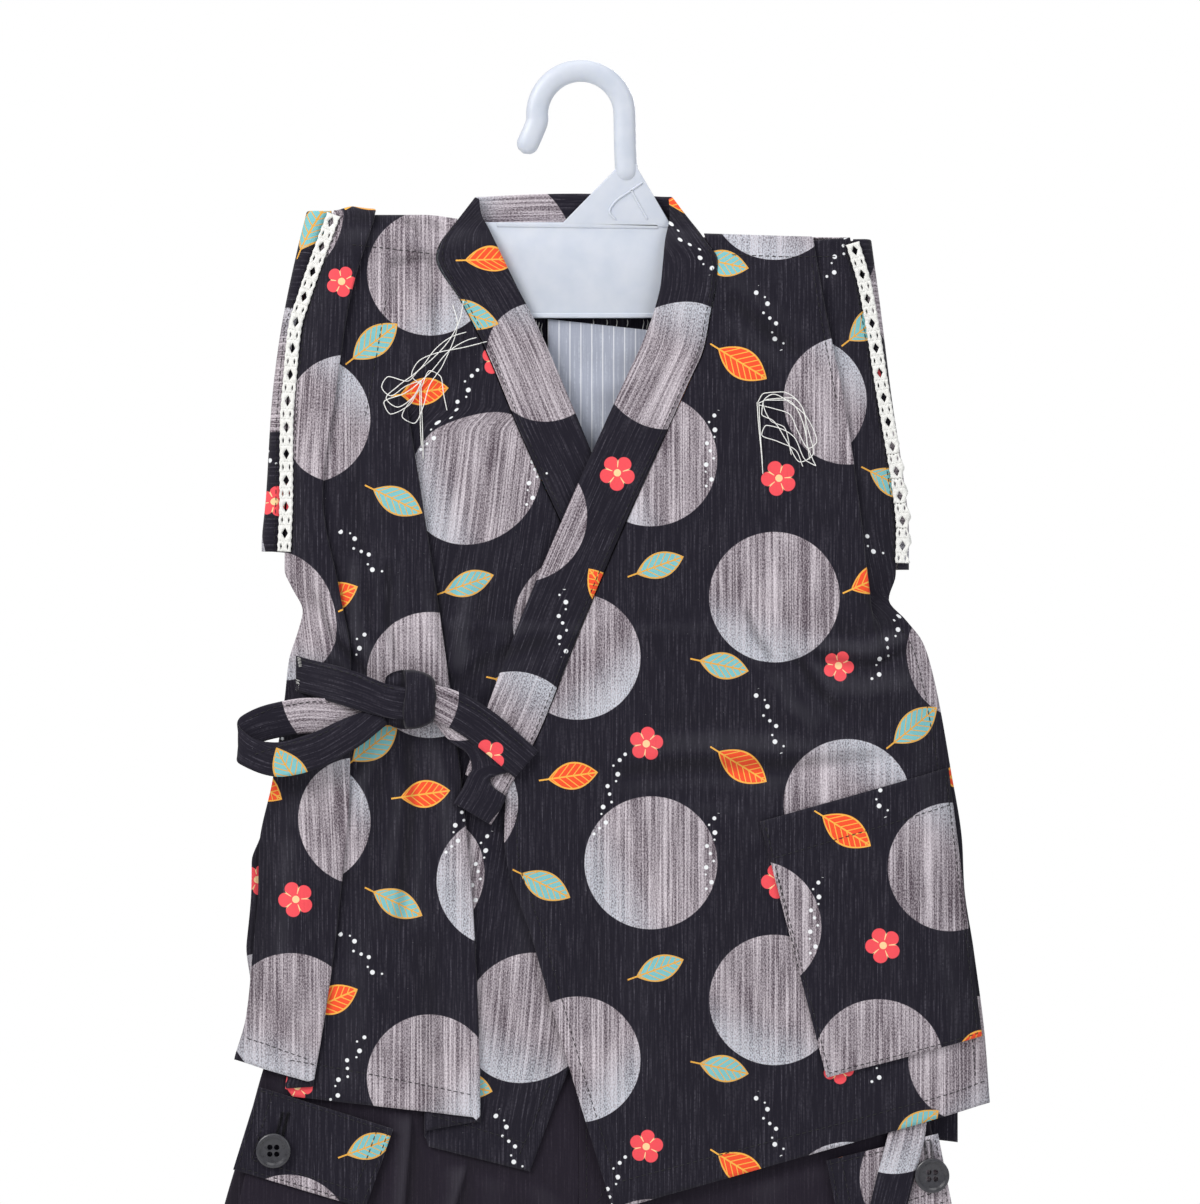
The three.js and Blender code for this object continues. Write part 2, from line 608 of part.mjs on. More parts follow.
/** The back, from the right side seam to the left one. */
function backPanel() {
  const hemDrop = BACK_ROWS[BACK_ROWS.length - 1];
  return BACK_ROWS.map((drop) =>
    BACK_COLUMNS.map((share) => {
      const x0 = mix(RIGHT_SIDE[0].x, LEFT_SIDE[0].x, share);
      const low = ease((drop - 12) / (hemDrop - 12));
      const hem = mix(BACK_HEM.rightZ, BACK_HEM.leftZ, share);
      const start = at(BACK_TOP, "z", x0, "x");
      const z = mix(start - drop, start + ((hem - start) * drop) / hemDrop, low);
      const peek = drop > 0 ? BACK_PEEK.x * ease((BACK_PEEK.top - z) / 12) * ease((z - BACK_PEEK.bottom) / 20) : 0;
      const right = at(RIGHT_SIDE, "x", z) - peek;
      const left = at(LEFT_SIDE, "x", z);
      const x = mix(right, left, share);
      const spread = Math.min(x - right, left - x);
      const hollow =
        BACK_HOLLOW.depth *
        ease((BACK_HOLLOW.halfWidth - Math.abs(x)) / 24) *
        ease((z - BACK_HOLLOW.bottom) / BACK_HOLLOW.fade);
      const depth = mix(at(SIDE_DEPTH, "depth", z), at(FLAT, "depth", z) + hollow, ease(spread / TAPER));
      const roll = rollOver(drop);
      const turned = mix(1, roll.out, at(BACK_TOP, "roll", x0, "x"));
      return new THREE.Vector3(x, SHOULDER_GAP + (depth - SHOULDER_GAP) * turned, z);
    }),
  );
}

/** A front neckband on its seam and inner edge, `level` over the innermost cloth. */
function frontBand(table, level) {
  return table.map((row) => {
    const points = [];
    for (const share of [0, 0.33, 0.67, 1]) {
      const x = mix(row.seamX, row.innerX, share);
      const z = mix(row.seamZ, row.innerZ, share);
      const lean = ease((BAND_TOP.z - z) / BAND_TOP.reach);
      const depth = mix(BAND_TOP.depth, at(FLAT, "depth", z) + BAND_LIFT, lean);
      points.push(new THREE.Vector3(x, -depth - level * ease((BAND_TOP.z - z - 8) / 40), z));
    }
    return points;
  });
}

/** The neckband round the back of the neck. */
function backBand() {
  const rows = [];
  for (const down of [0, 0.5, 1]) {
    const row = [];
    for (let i = 0; i <= 14; i++) {
      const share = i / 14;
      const out = Math.abs(2 * share - 1);
      const end = out ** 6;
      const topX = mix(BACK_BAND.topLeft, BACK_BAND.topRight, share);
      const bottomX = mix(BACK_BAND.bottomLeft, BACK_BAND.bottomRight, share);
      const topZ = BACK_BAND.topZ + BACK_BAND.crown * Math.sin(Math.PI * share);
      const bottomZ = BACK_BAND.bottomZ + end * (BACK_BAND.endRise + BACK_BAND.lowEnd * share);
      const z = mix(topZ, bottomZ, down);
      const lean = ease((BAND_TOP.clear - z) / BAND_TOP.turn);
      const endDepth = mix(BAND_TOP.depth, BAND_TOP.besidePlate, lean);
      row.push(new THREE.Vector3(mix(topX, bottomX, down), mix(BACK_BAND.depth, endDepth, out ** 10), z));
    }
    rows.push(row);
  }
  return rows;
}

/** The light cloth inside the back of the neck. */
function neckFacing() {
  const rows = [];
  for (const down of [0, 0.33, 0.67, 1]) {
    const row = [];
    for (const share of [0, 0.25, 0.5, 0.75, 1]) {
      const top = mix(FACING.leftTop, FACING.rightTop, share);
      const x = mix(FACING.left, FACING.right, share);
      row.push(new THREE.Vector3(x, FACING.depth, mix(top, FACING.bottom, down)));
    }
    rows.push(row);
  }
  return rows;
}

/** A sleeve: from the armhole out to its fold, round it, and flat behind to the cuff. */
function sleeve({ fold, top, bottom, endTop, endBottom, out, seam }) {
  const radius = (SLEEVE_BEHIND + SLEEVE_FRONT) / 2;
  const reach = radius + SLEEVE_LAYER + CLOTH / 2;
  const stations = [{ part: "front", share: 0 }];
  for (const share of [0.14, 0.35, 0.65, 0.86, 1]) stations.push({ part: "turn", share });
  for (const share of [0.33, 0.66, 1]) stations.push({ part: "behind", share });
  const ring = [];
  for (const share of SLEEVE_LEVELS) ring.push({ side: 1, up: share, turn: 0 });
  for (const angle of [0.25, 0.5, 0.75]) ring.push({ side: Math.cos(angle * Math.PI), up: 1, turn: angle });
  for (const share of [...SLEEVE_LEVELS].reverse()) ring.push({ side: -1, up: share, turn: 1 });
  return stations.map(({ part, share }) =>
    ring.map(({ side, up, turn }) => {
      const along = part === "behind" ? share : 0;
      const low = mix(bottom, endBottom, along);
      const high = mix(top, endTop, along);
      const half = part === "front" ? SIDE_DEPTH[0].depth : SLEEVE_LAYER;
      const z = mix(low, high, up) + SLEEVE_LAYER * Math.sin(turn * Math.PI);
      const level = mix(bottom, top, up);
      const centre = at(fold, "x", level) - out * reach;
      if (part === "front")
        return new THREE.Vector3(at(seam, "x", level) + out * SLEEVE_SEAM, -half * side, z);
      const angle = part === "turn" ? share * Math.PI : Math.PI;
      const arm = radius + SLEEVE_LAYER * side;
      const x = centre + out * arm * Math.sin(angle) - out * along * SLEEVE_REACH;
      return new THREE.Vector3(x, radius - SLEEVE_FRONT - arm * Math.cos(angle), z);
    }),
  );
}

/** A strip of cloth along a route of centres, `width` wide across it in the front plane. */
function strip(route) {
  return route.map((row, i) => {
    const before = route[Math.max(0, i - 1)];
    const after = route[Math.min(route.length - 1, i + 1)];
    const along = new THREE.Vector2(after.x - before.x, after.z - before.z);
    const turnedBack = Math.abs(along.x) < 6 && Math.abs(after.y - before.y) > 3;
    const across = turnedBack ? new THREE.Vector2(0, 1) : along.normalize().rotateAround(new THREE.Vector2(), Math.PI / 2);
    if (across.y < 0 && Math.abs(across.y) > 0.3) across.negate();
    return [-0.5, 0, 0.5].map(
      (side) =>
        new THREE.Vector3(row.x + side * row.width * across.x, row.y, row.z + side * row.width * across.y),
    );
  });
}

/** Points at even steps along a line of x and z. */
function evenly(line, step) {
  const curve = new THREE.CatmullRomCurve3(line.map(({ x, z }) => new THREE.Vector3(x, 0, z)));
  return curve.getSpacedPoints(Math.round(curve.getLength() / step));
}

/** A closed three.js geometry as a manifold solid. */
function toSolid(geometry) {
  const bare = geometry.clone();
  bare.deleteAttribute("normal");
  bare.deleteAttribute("uv");
  const merged = mergeVertices(bare, 1e-4);
  const triVerts = new Uint32Array(merged.index.array);
  const vertProperties = merged.attributes.position.array;
  return new wasm.Manifold(new wasm.Mesh({ numProp: 3, vertProperties, triVerts }));
}

/** A manifold solid as a three.js geometry. */
function toGeometry(solid) {
  const mesh = solid.getMesh();
  const geometry = new THREE.BufferGeometry();
  geometry.setAttribute("position", new THREE.BufferAttribute(mesh.vertProperties, 3));
  geometry.setIndex(new THREE.BufferAttribute(mesh.triVerts, 1));
  geometry.computeVertexNormals();
  return geometry;
}

/** An outline in x and z, made a plate of this thickness about the middle plane. */
function plate(outline, thickness) {
  const shape = new THREE.Shape(outline.map(({ x, z }) => new THREE.Vector2(x, z)));
  const geometry = new THREE.ExtrudeGeometry(shape, { depth: thickness, bevelEnabled: false });
  return geometry.rotateX(Math.PI / 2).translate(0, thickness / 2, 0);
}

/** A lace strip over an armhole seam, with its diamond holes cut through. */
function lace(line, scallop, under = () => 0) {
  const centres = evenly(line, LACE.step);
  const lift = SIDE_DEPTH[0].depth + STEP;
  const heading = (i) => {
    const before = centres[Math.max(0, i - 1)];
    const after = centres[Math.min(centres.length - 1, i + 1)];
    return Math.atan2(after.x - before.x, before.z - after.z);
  };
  const rows = centres.map((centre, i) => {
    const wave = scallop * ease((i - 16) / 6) * (i % 2 ? 1 : -1);
    return [-0.5, 0.5].map((side) => {
      const across = LACE.width * side + (side > 0 ? wave : 0);
      const angle = heading(i);
      const x = centre.x + across * Math.cos(angle);
      const z = centre.z + across * Math.sin(angle);
      return new THREE.Vector3(x, Math.min(-lift, under(x, z)), z);
    });
  });
  let solid = toSolid(wall(rows));
  const depth = 3 * CLOTH;
  const diamond = [
    { x: 0, z: LACE.holeAlong / 2 },
    { x: -LACE.holeAcross / 2, z: 0 },
    { x: 0, z: -LACE.holeAlong / 2 },
    { x: LACE.holeAcross / 2, z: 0 },
  ];
  const holes = evenly(line, LACE.pitch / 2);
  for (let i = 1; i < holes.length - 1; i += 2) {
    const cutter = plate(diamond, depth).rotateY(-heading(i)).translate(holes[i].x, -lift, holes[i].z);
    solid = solid.subtract(toSolid(cutter));
  }
  return toGeometry(solid);
}

/** Four corners filled with points, set on a surface by `place`, and closer together at +X. */
function patch({ topLeft, topRight, bottomLeft, bottomRight }, across, down, place, crowd = 1) {
  const rows = [];
  for (let r = 0; r <= down; r++) {
    const row = [];
    for (let c = 0; c <= across; c++) {
      const u = 1 - (1 - c / across) ** crowd;
      const v = r / down;
      const x = mix(mix(topLeft.x, topRight.x, u), mix(bottomLeft.x, bottomRight.x, u), v);
      const z = mix(mix(topLeft.z, topRight.z, u), mix(bottomLeft.z, bottomRight.z, u), v);
      row.push(place(x, z));
    }
    rows.push(row);
  }
  return rows;
}

/** The patch pocket, lying on the left front. */
function patchPocket() {
  return patch(POCKET, 9, 5, (x, z) => {
    const side = at(LEFT_SIDE, "x", z);
    return frontPoint(x, z, side, LEFT_RIDGE[0].z, leftLevel(x, side) + STEP + POCKET_EASE);
  }, 1.6);
}

/** The tie's stretch from the side seam to the knot, on the right front. */
function tieStrap() {
  return TIE_STRAP.map(({ x, topZ, bottomZ }) => {
    const nearby = [-7, -3.5, 0, 3.5, 7].map((dx) => rightSurface(Math.max(-126, x + dx), topZ - 8));
    const y = Math.min(...nearby) - CLEAR - STRAP / 2;
    return [0, 0.5, 1].map((share) => new THREE.Vector3(x, y, mix(topZ, bottomZ, share)));
  });
}

/** The knot, a soft rounded lump with its crossing strap drawn tight. */
function tieKnot() {
  const geometry = new THREE.SphereGeometry(1, 14, 10);
  const points = geometry.attributes.position;
  for (let i = 0; i < points.count; i++) {
    const p = new THREE.Vector3().fromBufferAttribute(points, i);
    const square = (v) => Math.sign(v) * Math.abs(v) ** 0.72;
    const waist = 1 - 0.12 * Math.cos(p.z * Math.PI);
    points.setXYZ(
      i,
      KNOT.x + KNOT.halfWidth * square(p.x) * waist,
      KNOT.y + KNOT.halfDepth * square(p.y),
      KNOT.z + KNOT.halfHeight * square(p.z),
    );
  }
  return toGeometry(toSolid(geometry));
}

/** One leg of the shorts, a sheet wrapped from its front seam round the side to the back seam. */
function shortsLeg(column, out) {
  return LEGS.map((row) => {
    const side = row[column] - out * SHORTS_DEPTH;
    const inner = CENTRE + out * (SEAM / 2 + row.split);
    const rowPoints = [];
    const across = [0, 0.2, 0.4, 0.6, 0.8, 1];
    for (const share of across)
      rowPoints.push(new THREE.Vector3(mix(inner, side, share), -SHORTS_DEPTH, row.z));
    for (const angle of [0.25, 0.5, 0.75]) {
      const turn = angle * Math.PI;
      const x = side + out * SHORTS_DEPTH * Math.sin(turn);
      rowPoints.push(new THREE.Vector3(x, -SHORTS_DEPTH * Math.cos(turn), row.z));
    }
    for (const share of [...across].reverse())
      rowPoints.push(new THREE.Vector3(mix(inner, side, share), SHORTS_DEPTH, row.z));
    return rowPoints;
  });
}

/** The gathered waistband, a flat ring that closes at the centre back. */
function waistband() {
  const { top, bottom, right, left, waves, wave } = WAISTBAND;
  const halfWidth = (left - right) / 2 - SHORTS_DEPTH;
  const centre = (left + right) / 2;
  const ripple = (x) => SHORTS_DEPTH + wave * Math.sin((x / halfWidth) * Math.PI * waves) ** 2 - wave;
  const ring = [];
  const count = 2 * waves;
  for (let i = 0; i <= count; i++) {
    const x = mix(SEAM, halfWidth, i / count);
    ring.push({ x, y: ripple(x) });
  }
  ring.push({ x: halfWidth + SHORTS_DEPTH, y: 0 });
  for (let i = 0; i <= 2 * count; i++) {
    const x = mix(halfWidth, -halfWidth, i / (2 * count));
    ring.push({ x, y: -ripple(x) });
  }
  ring.push({ x: -halfWidth - SHORTS_DEPTH, y: 0 });
  for (let i = 0; i <= count; i++) {
    const x = mix(-halfWidth, -SEAM, i / count);
    ring.push({ x, y: ripple(x) });
  }
  return [top, bottom].map((z) => ring.map(({ x, y }) => new THREE.Vector3(centre + x, y, z)));
}

/** The pocket under a flap, with its top edge covered by the flap. */
function cargoPocket(flap) {
  const { topLeft, topRight, bottomLeft, bottomRight } = flap;
  const { inset, top, drop } = CARGO_POCKET;
  const inside = (a, b, share) => ({ x: mix(a.x, b.x, share), z: mix(a.z, b.z, share) });
  const left = inside(topLeft, bottomLeft, top);
  const right = inside(topRight, bottomRight, top);
  const upper = [inside(left, right, inset), inside(left, right, 1 - inset)];
  const lean = { x: (bottomLeft.x - topLeft.x) * 1.6, z: -drop };
  const corners = {
    topLeft: upper[0],
    topRight: upper[1],
    bottomLeft: { x: upper[0].x + lean.x, z: upper[0].z + lean.z },
    bottomRight: { x: upper[1].x + lean.x, z: upper[1].z + lean.z },
  };
  const depth = SHORTS_DEPTH + STEP;
  return patch(corners, 3, 3, (x, z) => new THREE.Vector3(x, -depth, z));
}

/** A pocket's flap, over the pocket. */
function pocketFlap(flap) {
  const depth = SHORTS_DEPTH + 2 * STEP;
  return patch(flap, 4, 3, (x, z) => new THREE.Vector3(x, -depth, z));
}

/** A four-hole button with a raised rim. */
function flapButton({ x, z }) {
  const { radius, thick, rim, dish, holeRadius, holeSpace } = BUTTON;
  const profile = [
    [0, 0], [radius - 0.6, 0], [radius, 0.6], [radius, thick - 0.5], [radius - 0.5, thick],
    [radius - rim, thick], [radius - rim - 0.7, thick - dish], [0, thick - dish],
  ];
  const turned = new THREE.LatheGeometry(profile.map(([r, h]) => new THREE.Vector2(r, h)), 20);
  let solid = toSolid(turned);
  if (solid.volume() < 0) solid = toSolid(turned.scale(-1, 1, 1));
  for (const dx of [-0.5, 0.5])
    for (const dz of [-0.5, 0.5]) {
      const drill = new THREE.CylinderGeometry(holeRadius, holeRadius, 3 * thick, 8);
      solid = solid.subtract(toSolid(drill.translate(dx * holeSpace, 0, dz * holeSpace)));
    }
  const depth = SHORTS_DEPTH + 2 * STEP + CLOTH / 2 + CLEAR;
  return toGeometry(solid).rotateX(Math.PI).translate(x, -depth, z);
}

/** The hanger: a hook, its gusset and a header plate with raised rims. */
function hanger() {
  const { inside, bar, thick, footX, footZ, tipX, tipZ, sides, steps } = HOOK;
  const centre = inside + bar / 2;
  const route = [new THREE.Vector3(footX, 0, footZ), new THREE.Vector3(footX - 0.6, 0, -28)];
  for (let i = 0; i <= 12; i++) {
    const angle = (i / 12) * Math.PI * 1.03;
    route.push(new THREE.Vector3(centre * Math.cos(angle), 0, -inside + centre * Math.sin(angle)));
  }
  route.push(new THREE.Vector3(tipX, 0, tipZ));
  const section = new THREE.Shape().absarc(0, 0, bar / 2, 0, 2 * Math.PI);
  const extrudePath = new THREE.CatmullRomCurve3(route);
  const bend = new THREE.ExtrudeGeometry(section, { steps, curveSegments: sides / 2, extrudePath });
  const ball = new THREE.SphereGeometry(bar / 2, sides, 8).translate(tipX, 0, tipZ);
  const { wide, topLeft, topRight, bottomLeft, bottomRight } = RIM;
  const topRim = [
    { x: topLeft, z: -61.6 }, { x: topLeft, z: -61.6 - wide },
    { x: topRight, z: -62.4 - wide }, { x: topRight, z: -62.4 },
  ];
  const bottomRim = [
    { x: bottomLeft, z: -103.6 + wide }, { x: bottomLeft, z: -103.6 },
    { x: bottomRight, z: -103.6 }, { x: bottomRight, z: -103.6 + wide },
  ];
  return toGeometry(
    toSolid(bend)
      .add(toSolid(ball))
      .scale([1, thick / bar, 1])
      .add(toSolid(plate(GUSSET, RIM.thick)))
      .add(toSolid(plate(PLATE, PLATE_THICK)))
      .add(toSolid(plate(topRim, RIM.thick)))
      .add(toSolid(plate(bottomRim, RIM.thick))),
  );
}

const finish = (color, roughness) => new THREE.MeshStandardMaterial({ color, roughness, metalness: 0 });

/** The hung set, each cut or moulded piece a mesh of its own. */
function jinbeiSet() {
  const group = new THREE.Group();
  const add = (name, geometry, color, roughness = 0.9) => {
    const mesh = new THREE.Mesh(geometry, finish(color, roughness));
    mesh.name = name;
    group.add(mesh);
  };
  const { print, plain } = COLOURS;
  add("hanger", hanger(), COLOURS.hanger, 0.4);
  add("back_body", wall(backPanel()), print);
  add("front_right", wall(RIGHT_ROWS.map(rightRow)), print);
  add("front_left", wall(LEFT_ROWS.map(leftRow)), print);
  add("neckband_back", wall(backBand(), BAND), print);
  add("neckband_right", wall(frontBand(UNDER_BAND, 0), BAND), print);
  add("neckband_left", wall(frontBand(OVER_BAND, OVER), BAND), print);
  add("neck_facing", wall(neckFacing()), COLOURS.facing);
  add("sleeve_right", wall(sleeve(RIGHT_SLEEVE)), print);
  add("sleeve_left", wall(sleeve(LEFT_SLEEVE)), print);
  const overFlap = (x, z) => rightSurface(x, z) - CLEAR - CLOTH / 2;
  add("lace_right", lace(RIGHT_LACE, 0, overFlap), COLOURS.lace);
  add("lace_left", lace(LEFT_LACE, 0.7), COLOURS.lace);
  add("patch_pocket", wall(patchPocket()), print);
  add("tie_strap", wall(tieStrap(), STRAP), print);
  add("tie_knot", tieKnot(), print);
  add("tie_loop", wall(strip(TIE_LOOP), STRAP), print);
  add("tie_front_tail", wall(strip(TIE_FRONT_TAIL), STRAP), print);
  add("tie_rear_tail", wall(strip(TIE_REAR_TAIL), STRAP), print);
  add("inner_tie", wall(strip(INNER_TIE)), print);
  add("shorts_leg_right", wall(shortsLeg("right", -1)), plain);
  add("shorts_leg_left", wall(shortsLeg("left", 1)), plain);
  add("shorts_waistband", wall(waistband()), plain);
  add("cargo_pocket_right", wall(cargoPocket(RIGHT_FLAP)), plain);
  add("cargo_pocket_left", wall(cargoPocket(LEFT_FLAP)), plain);
  add("pocket_flap_right", wall(pocketFlap(RIGHT_FLAP)), print);
  add("pocket_flap_left", wall(pocketFlap(LEFT_FLAP)), print);
  add("flap_button_right", flapButton(RIGHT_BUTTON), COLOURS.button, 0.35);
  add("flap_button_left", flapButton(LEFT_BUTTON), COLOURS.button, 0.35);
  return group;
}

export default jinbeiSet();
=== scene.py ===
"""A child's jinbei set, a printed wrap top over plain shorts, hanging on a plastic header hanger.

The charts below are in millimetres, and the scene is in metres. +Z is up, -Y is the front
and +X is the wearer's left. The origin is the top of the hook's inside.
"""
import logging
import math
from collections.abc import Callable, Sequence
from dataclasses import dataclass, field
from enum import Enum

import bmesh
import bpy
import numpy as np
from mathutils import Matrix, Vector
from mathutils.bvhtree import BVHTree


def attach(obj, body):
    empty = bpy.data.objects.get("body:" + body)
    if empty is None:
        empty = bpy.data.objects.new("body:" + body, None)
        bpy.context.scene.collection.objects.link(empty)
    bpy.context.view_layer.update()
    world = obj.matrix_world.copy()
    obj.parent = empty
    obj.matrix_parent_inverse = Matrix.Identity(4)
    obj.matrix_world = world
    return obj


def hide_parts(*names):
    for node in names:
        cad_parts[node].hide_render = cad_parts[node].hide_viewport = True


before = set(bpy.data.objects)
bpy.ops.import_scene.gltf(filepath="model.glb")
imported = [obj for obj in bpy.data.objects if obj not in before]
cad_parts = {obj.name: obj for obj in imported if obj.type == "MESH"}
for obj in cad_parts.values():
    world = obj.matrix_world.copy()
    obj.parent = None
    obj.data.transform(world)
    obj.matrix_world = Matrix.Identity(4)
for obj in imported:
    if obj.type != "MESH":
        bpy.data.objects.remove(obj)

log = logging.getLogger("jinbei")
MM = 0.001
Array = np.ndarray
Value = float | Array
Pair = tuple[float, float]
Line = Sequence[Pair]
Route = Sequence[Sequence[float]]
Surface = Callable[[Array, Array], Array]  # a depth at x and z
Piece = bpy.types.Object
Socket = bpy.types.NodeSocket

# Cloth and seams, as in the solids
STEP = 1.35  # from one layer's middle to the next
TURN = STEP / 2  # radius of a fold
SEAM = 0.5
SHOULDER_GAP = 0.4
SHOULDER_TURN = 2.0
SETTLE = 44.0
TAPER = 18.0
TUCK_START = 0.4
OVER = 3.0
BEND = 7  # points round one fold
LYING = 5  # points across a fold's hidden layer
HALF_TURN = np.linspace(0, math.pi, 9)[1:-1]  # angles round a thin edge


def mix(a: Value, b: Value, share: Value) -> Value:
    """A value between two, the first at share 0 and the second at share 1."""
    return a + (b - a) * share


def ease(share: Value) -> Value:
    """An even change from 0 to 1 that starts and ends level."""
    held = np.clip(share, 0, 1)
    return held * held * (3 - 2 * held)


def way_along(points: Array) -> Array:
    """How far each of a row of points lies along it from the first."""
    return np.concatenate([[0], np.cumsum(np.linalg.norm(np.diff(points, axis=0), axis=1))])


class Chart:
    """Columns of numbers against a key, read between rows on a smooth line."""

    def __init__(self, names: str, *rows: Sequence[float]) -> None:
        """Sorts the rows by the first name's column, and works out each column's slopes.

        Args:
            names: The columns' names, the key first.
            rows: One row of numbers for each place.
        """
        table = np.array(rows, float)
        table = table[np.argsort(table[:, 0])]
        self.key = table[:, 0]
        self.values = {name: table[:, i] for i, name in enumerate(names.split())}
        self.slopes = {name: self._slopes(column) for name, column in self.values.items()}

    def _slopes(self, values: Array) -> Array:
        """The slope at each row, with no overshoot between rows.

        Args:
            values: One column.
        Returns:
            A slope for each row.
        """
        rise = np.diff(values) / np.diff(self.key)
        slopes = np.concatenate([rise[:1], np.zeros(len(values) - 2), rise[-1:]])
        for i in range(1, len(values) - 1):
            if rise[i - 1] * rise[i] > 0:
                slopes[i] = 2 * rise[i - 1] * rise[i] / (rise[i - 1] + rise[i])
        return slopes

    def at(self, name: str, place: Value) -> Value:
        """A column's value.

        Args:
            name: The column.
            place: A number or an array, along the key.
        Returns:
            The value there, held at the ends.
        """
        place = np.clip(place, self.key[0], self.key[-1])
        i = np.clip(np.searchsorted(self.key, place) - 1, 0, len(self.key) - 2)
        span = self.key[i + 1] - self.key[i]
        t = (place - self.key[i]) / span
        v, m = self.values[name], self.slopes[name]
        return (
            (1 + 2 * t) * (1 - t) ** 2 * v[i]
            + t * (1 - t) ** 2 * span * m[i]
            + t * t * (3 - 2 * t) * v[i + 1]
            + t * t * (t - 1) * span * m[i + 1]
        )


# How deep the cloth lies on each side of the middle plane
FLAT = Chart("z depth", (-56, 2.4), (-250, 2.4), (-320, 2.75))
SIDE_DEPTH = Chart("z depth", (-56, 2), (-205, 2), (-232, 0.72), (-320, 0.72), (-350, 2.75))

# Right front, which lies underneath
RIGHT_RIDGE = Chart("x z", (-130, -56.4), (-108, -56.6), (-90, -58.6), (-69, -58.6), (-53, -60.4))
RIGHT_TOP = float(RIGHT_RIDGE.at("z", -130))
RIGHT_SIDE = Chart(
    "z x", (-56, -108), (-72, -113.5), (-96, -121.4), (-114, -125.6), (-141, -128), (-183, -128.9),
    (-214, -129.8), (-222, -126.5), (-232, -121.9), (-240, -123.7), (-254, -128), (-270, -129.8),
    (-306, -135.1), (-336, -141), (-354, -141.3), (-378, -143.4), (-409, -146.5), (-428, -151.8),
)
RIGHT_FRONT_EDGE = Chart(
    "z x", (-56, -53.6), (-60.1, -53.6), (-71.9, -61.4), (-77, -63), (-96, -52.3), (-117, -41.8),
    (-154.7, -26), (-193, -8.5), (-311, 45), (-325, 44), (-370, 27), (-404, 10), (-434.5, -5.3),
    (-477, -21.7),
)
RIGHT_FOLDS = Chart(
    "z tuck tuck_depth pleat pleat_depth",
    (-56, -90, 9, -78, 4), (-98, -101.6, 9, -77, 4), (-137, -107.4, 8, -76, 4),
    (-182, -113, 7, -69.8, 6), (-224, -105.6, 7, -63.3, 9), (-253, -100.8, 9, -59.2, 11),
    (-306, -101.2, 11, -52.5, 15), (-360, -105.6, 12, -47.5, 19), (-404, -111.3, 12, -45.2, 21),
    (-438, -117, 12, -44.2, 24),
)
PLEAT_START = {"top": -124.0, "full": -138.0, "folded": -154.0}
RIGHT_HEM = {"tuck": 11, "pleat": 27, "inside": 35, "edge": 49, "start": -250, "hem": -428}

# Left front, which lies on top
LEFT_RIDGE = Chart("x z", (53, -66.8), (100, -68.2), (145, -68.8))
LEFT_TOP = float(LEFT_RIDGE.at("z", 53))
LEFT_SIDE = Chart(
    "z x", (-68, 118), (-76, 120.4), (-89, 123.8), (-108, 126.6), (-132, 129.8), (-159, 134),
    (-197, 138.2), (-216, 138), (-227, 135), (-236, 142.5), (-245.3, 149.6), (-253.7, 152.7),
    (-270, 156.6), (-300, 161.9), (-334.6, 167.2), (-351, 167.8), (-380, 172), (-418, 176.9),
    (-447.3, 179.1),
)
LEFT_FRONT_EDGE = Chart(
    "z x", (-67, 53.5), (-70.2, 54.8), (-78.5, 59.4), (-88.2, 59), (-100, 56.8), (-117, 53.7),
    (-133, 46.6), (-200.4, 16.3), (-246.6, -3.1), (-286.2, -18.9), (-313, -33.4), (-332, -33.9),
    (-377.7, -21.1), (-432.7, -5.3), (-494, 13.6),
)
LEFT_FOLDS = Chart(
    "z tuck tuck_depth", (-68, 101.6, 9), (-96, 106, 9), (-142, 115.3, 9), (-188, 121.9, 9),
    (-228.6, 127, 6), (-252, 133.3, 5),
)
LEFT_TUCK_END = {"open": -222, "ramp": -240, "flat": -262}
LEFT_HEM = {"slope": 0.283, "start": -270, "hem": -447.3}
LEFT_RAMP = 35.0

# Back
BACK_HEM = (-427.0, -465.5)
BACK_TOP = Chart(
    "x z roll", (-130, -56.4, 1), (-108, -56.6, 1), (-90, -58.6, 1), (-69, -58.6, 1), (-57, -60.6, 1),
    (-50.5, -71, 0), (-42, -75.4, 0), (0, -76.4, 0), (38, -76, 0), (50, -71.4, 0), (57, -67.6, 1),
    (100, -68.2, 1), (145, -68.8, 1),
)
BACK_LENGTH = 372.0
SHOULDERS = (-108.0, 118.0)  # where both end across
BACK_HOLLOW = {"depth": 1.2, "half": 66, "bottom": -224, "fade": 40, "edge": 24}
BACK_PEEK = {"x": 3.4, "top": -330, "bottom": -398}
BACK_VENT = {"x": 13.5, "top": -422, "length": 20}

# Neckband: its seam and its folded inner edge
UNDER_BAND = (
    (-46.4, -50.8, -44.6, -51.4), (-53.3, -60.1, -43.6, -58), (-61.3, -71.9, -40.2, -65),
    (-62.3, -77, -36.5, -72.5), (-52.3, -96, -28, -90), (-41.8, -116.8, -18.5, -108.3),
    (-26, -154.7, -3.4, -143), (-8.5, -193, 13.8, -184), (18.3, -252, 41, -243),
    (45, -311, 67.5, -302),
)
OVER_BAND = (
    (40.2, -50.8, 38.6, -51.6), (47.3, -60.5, 38.9, -59.5), (54.6, -70.2, 36.8, -70.5),
    (59.4, -79, 35.9, -80), (59, -88.2, 35, -89), (56.8, -100.1, 32.8, -98.6),
    (53.7, -116.8, 27.9, -112.5), (46.6, -133.1, 20.6, -128.4), (35.6, -157.5, 11.5, -148),
    (16.3, -200.4, -7, -189.7), (-3.1, -246.6, -27.2, -237.6), (-18.9, -286.2, -41.6, -276.5),
    (-33.4, -313.4, -50.4, -303.4),
)
BAND_CROWN = 0.28  # how far its middle stands out
BAND_TOP = {"z": -50, "reach": 14, "depth": 1.1, "clear": -55, "turn": 5, "beside": 2.3}
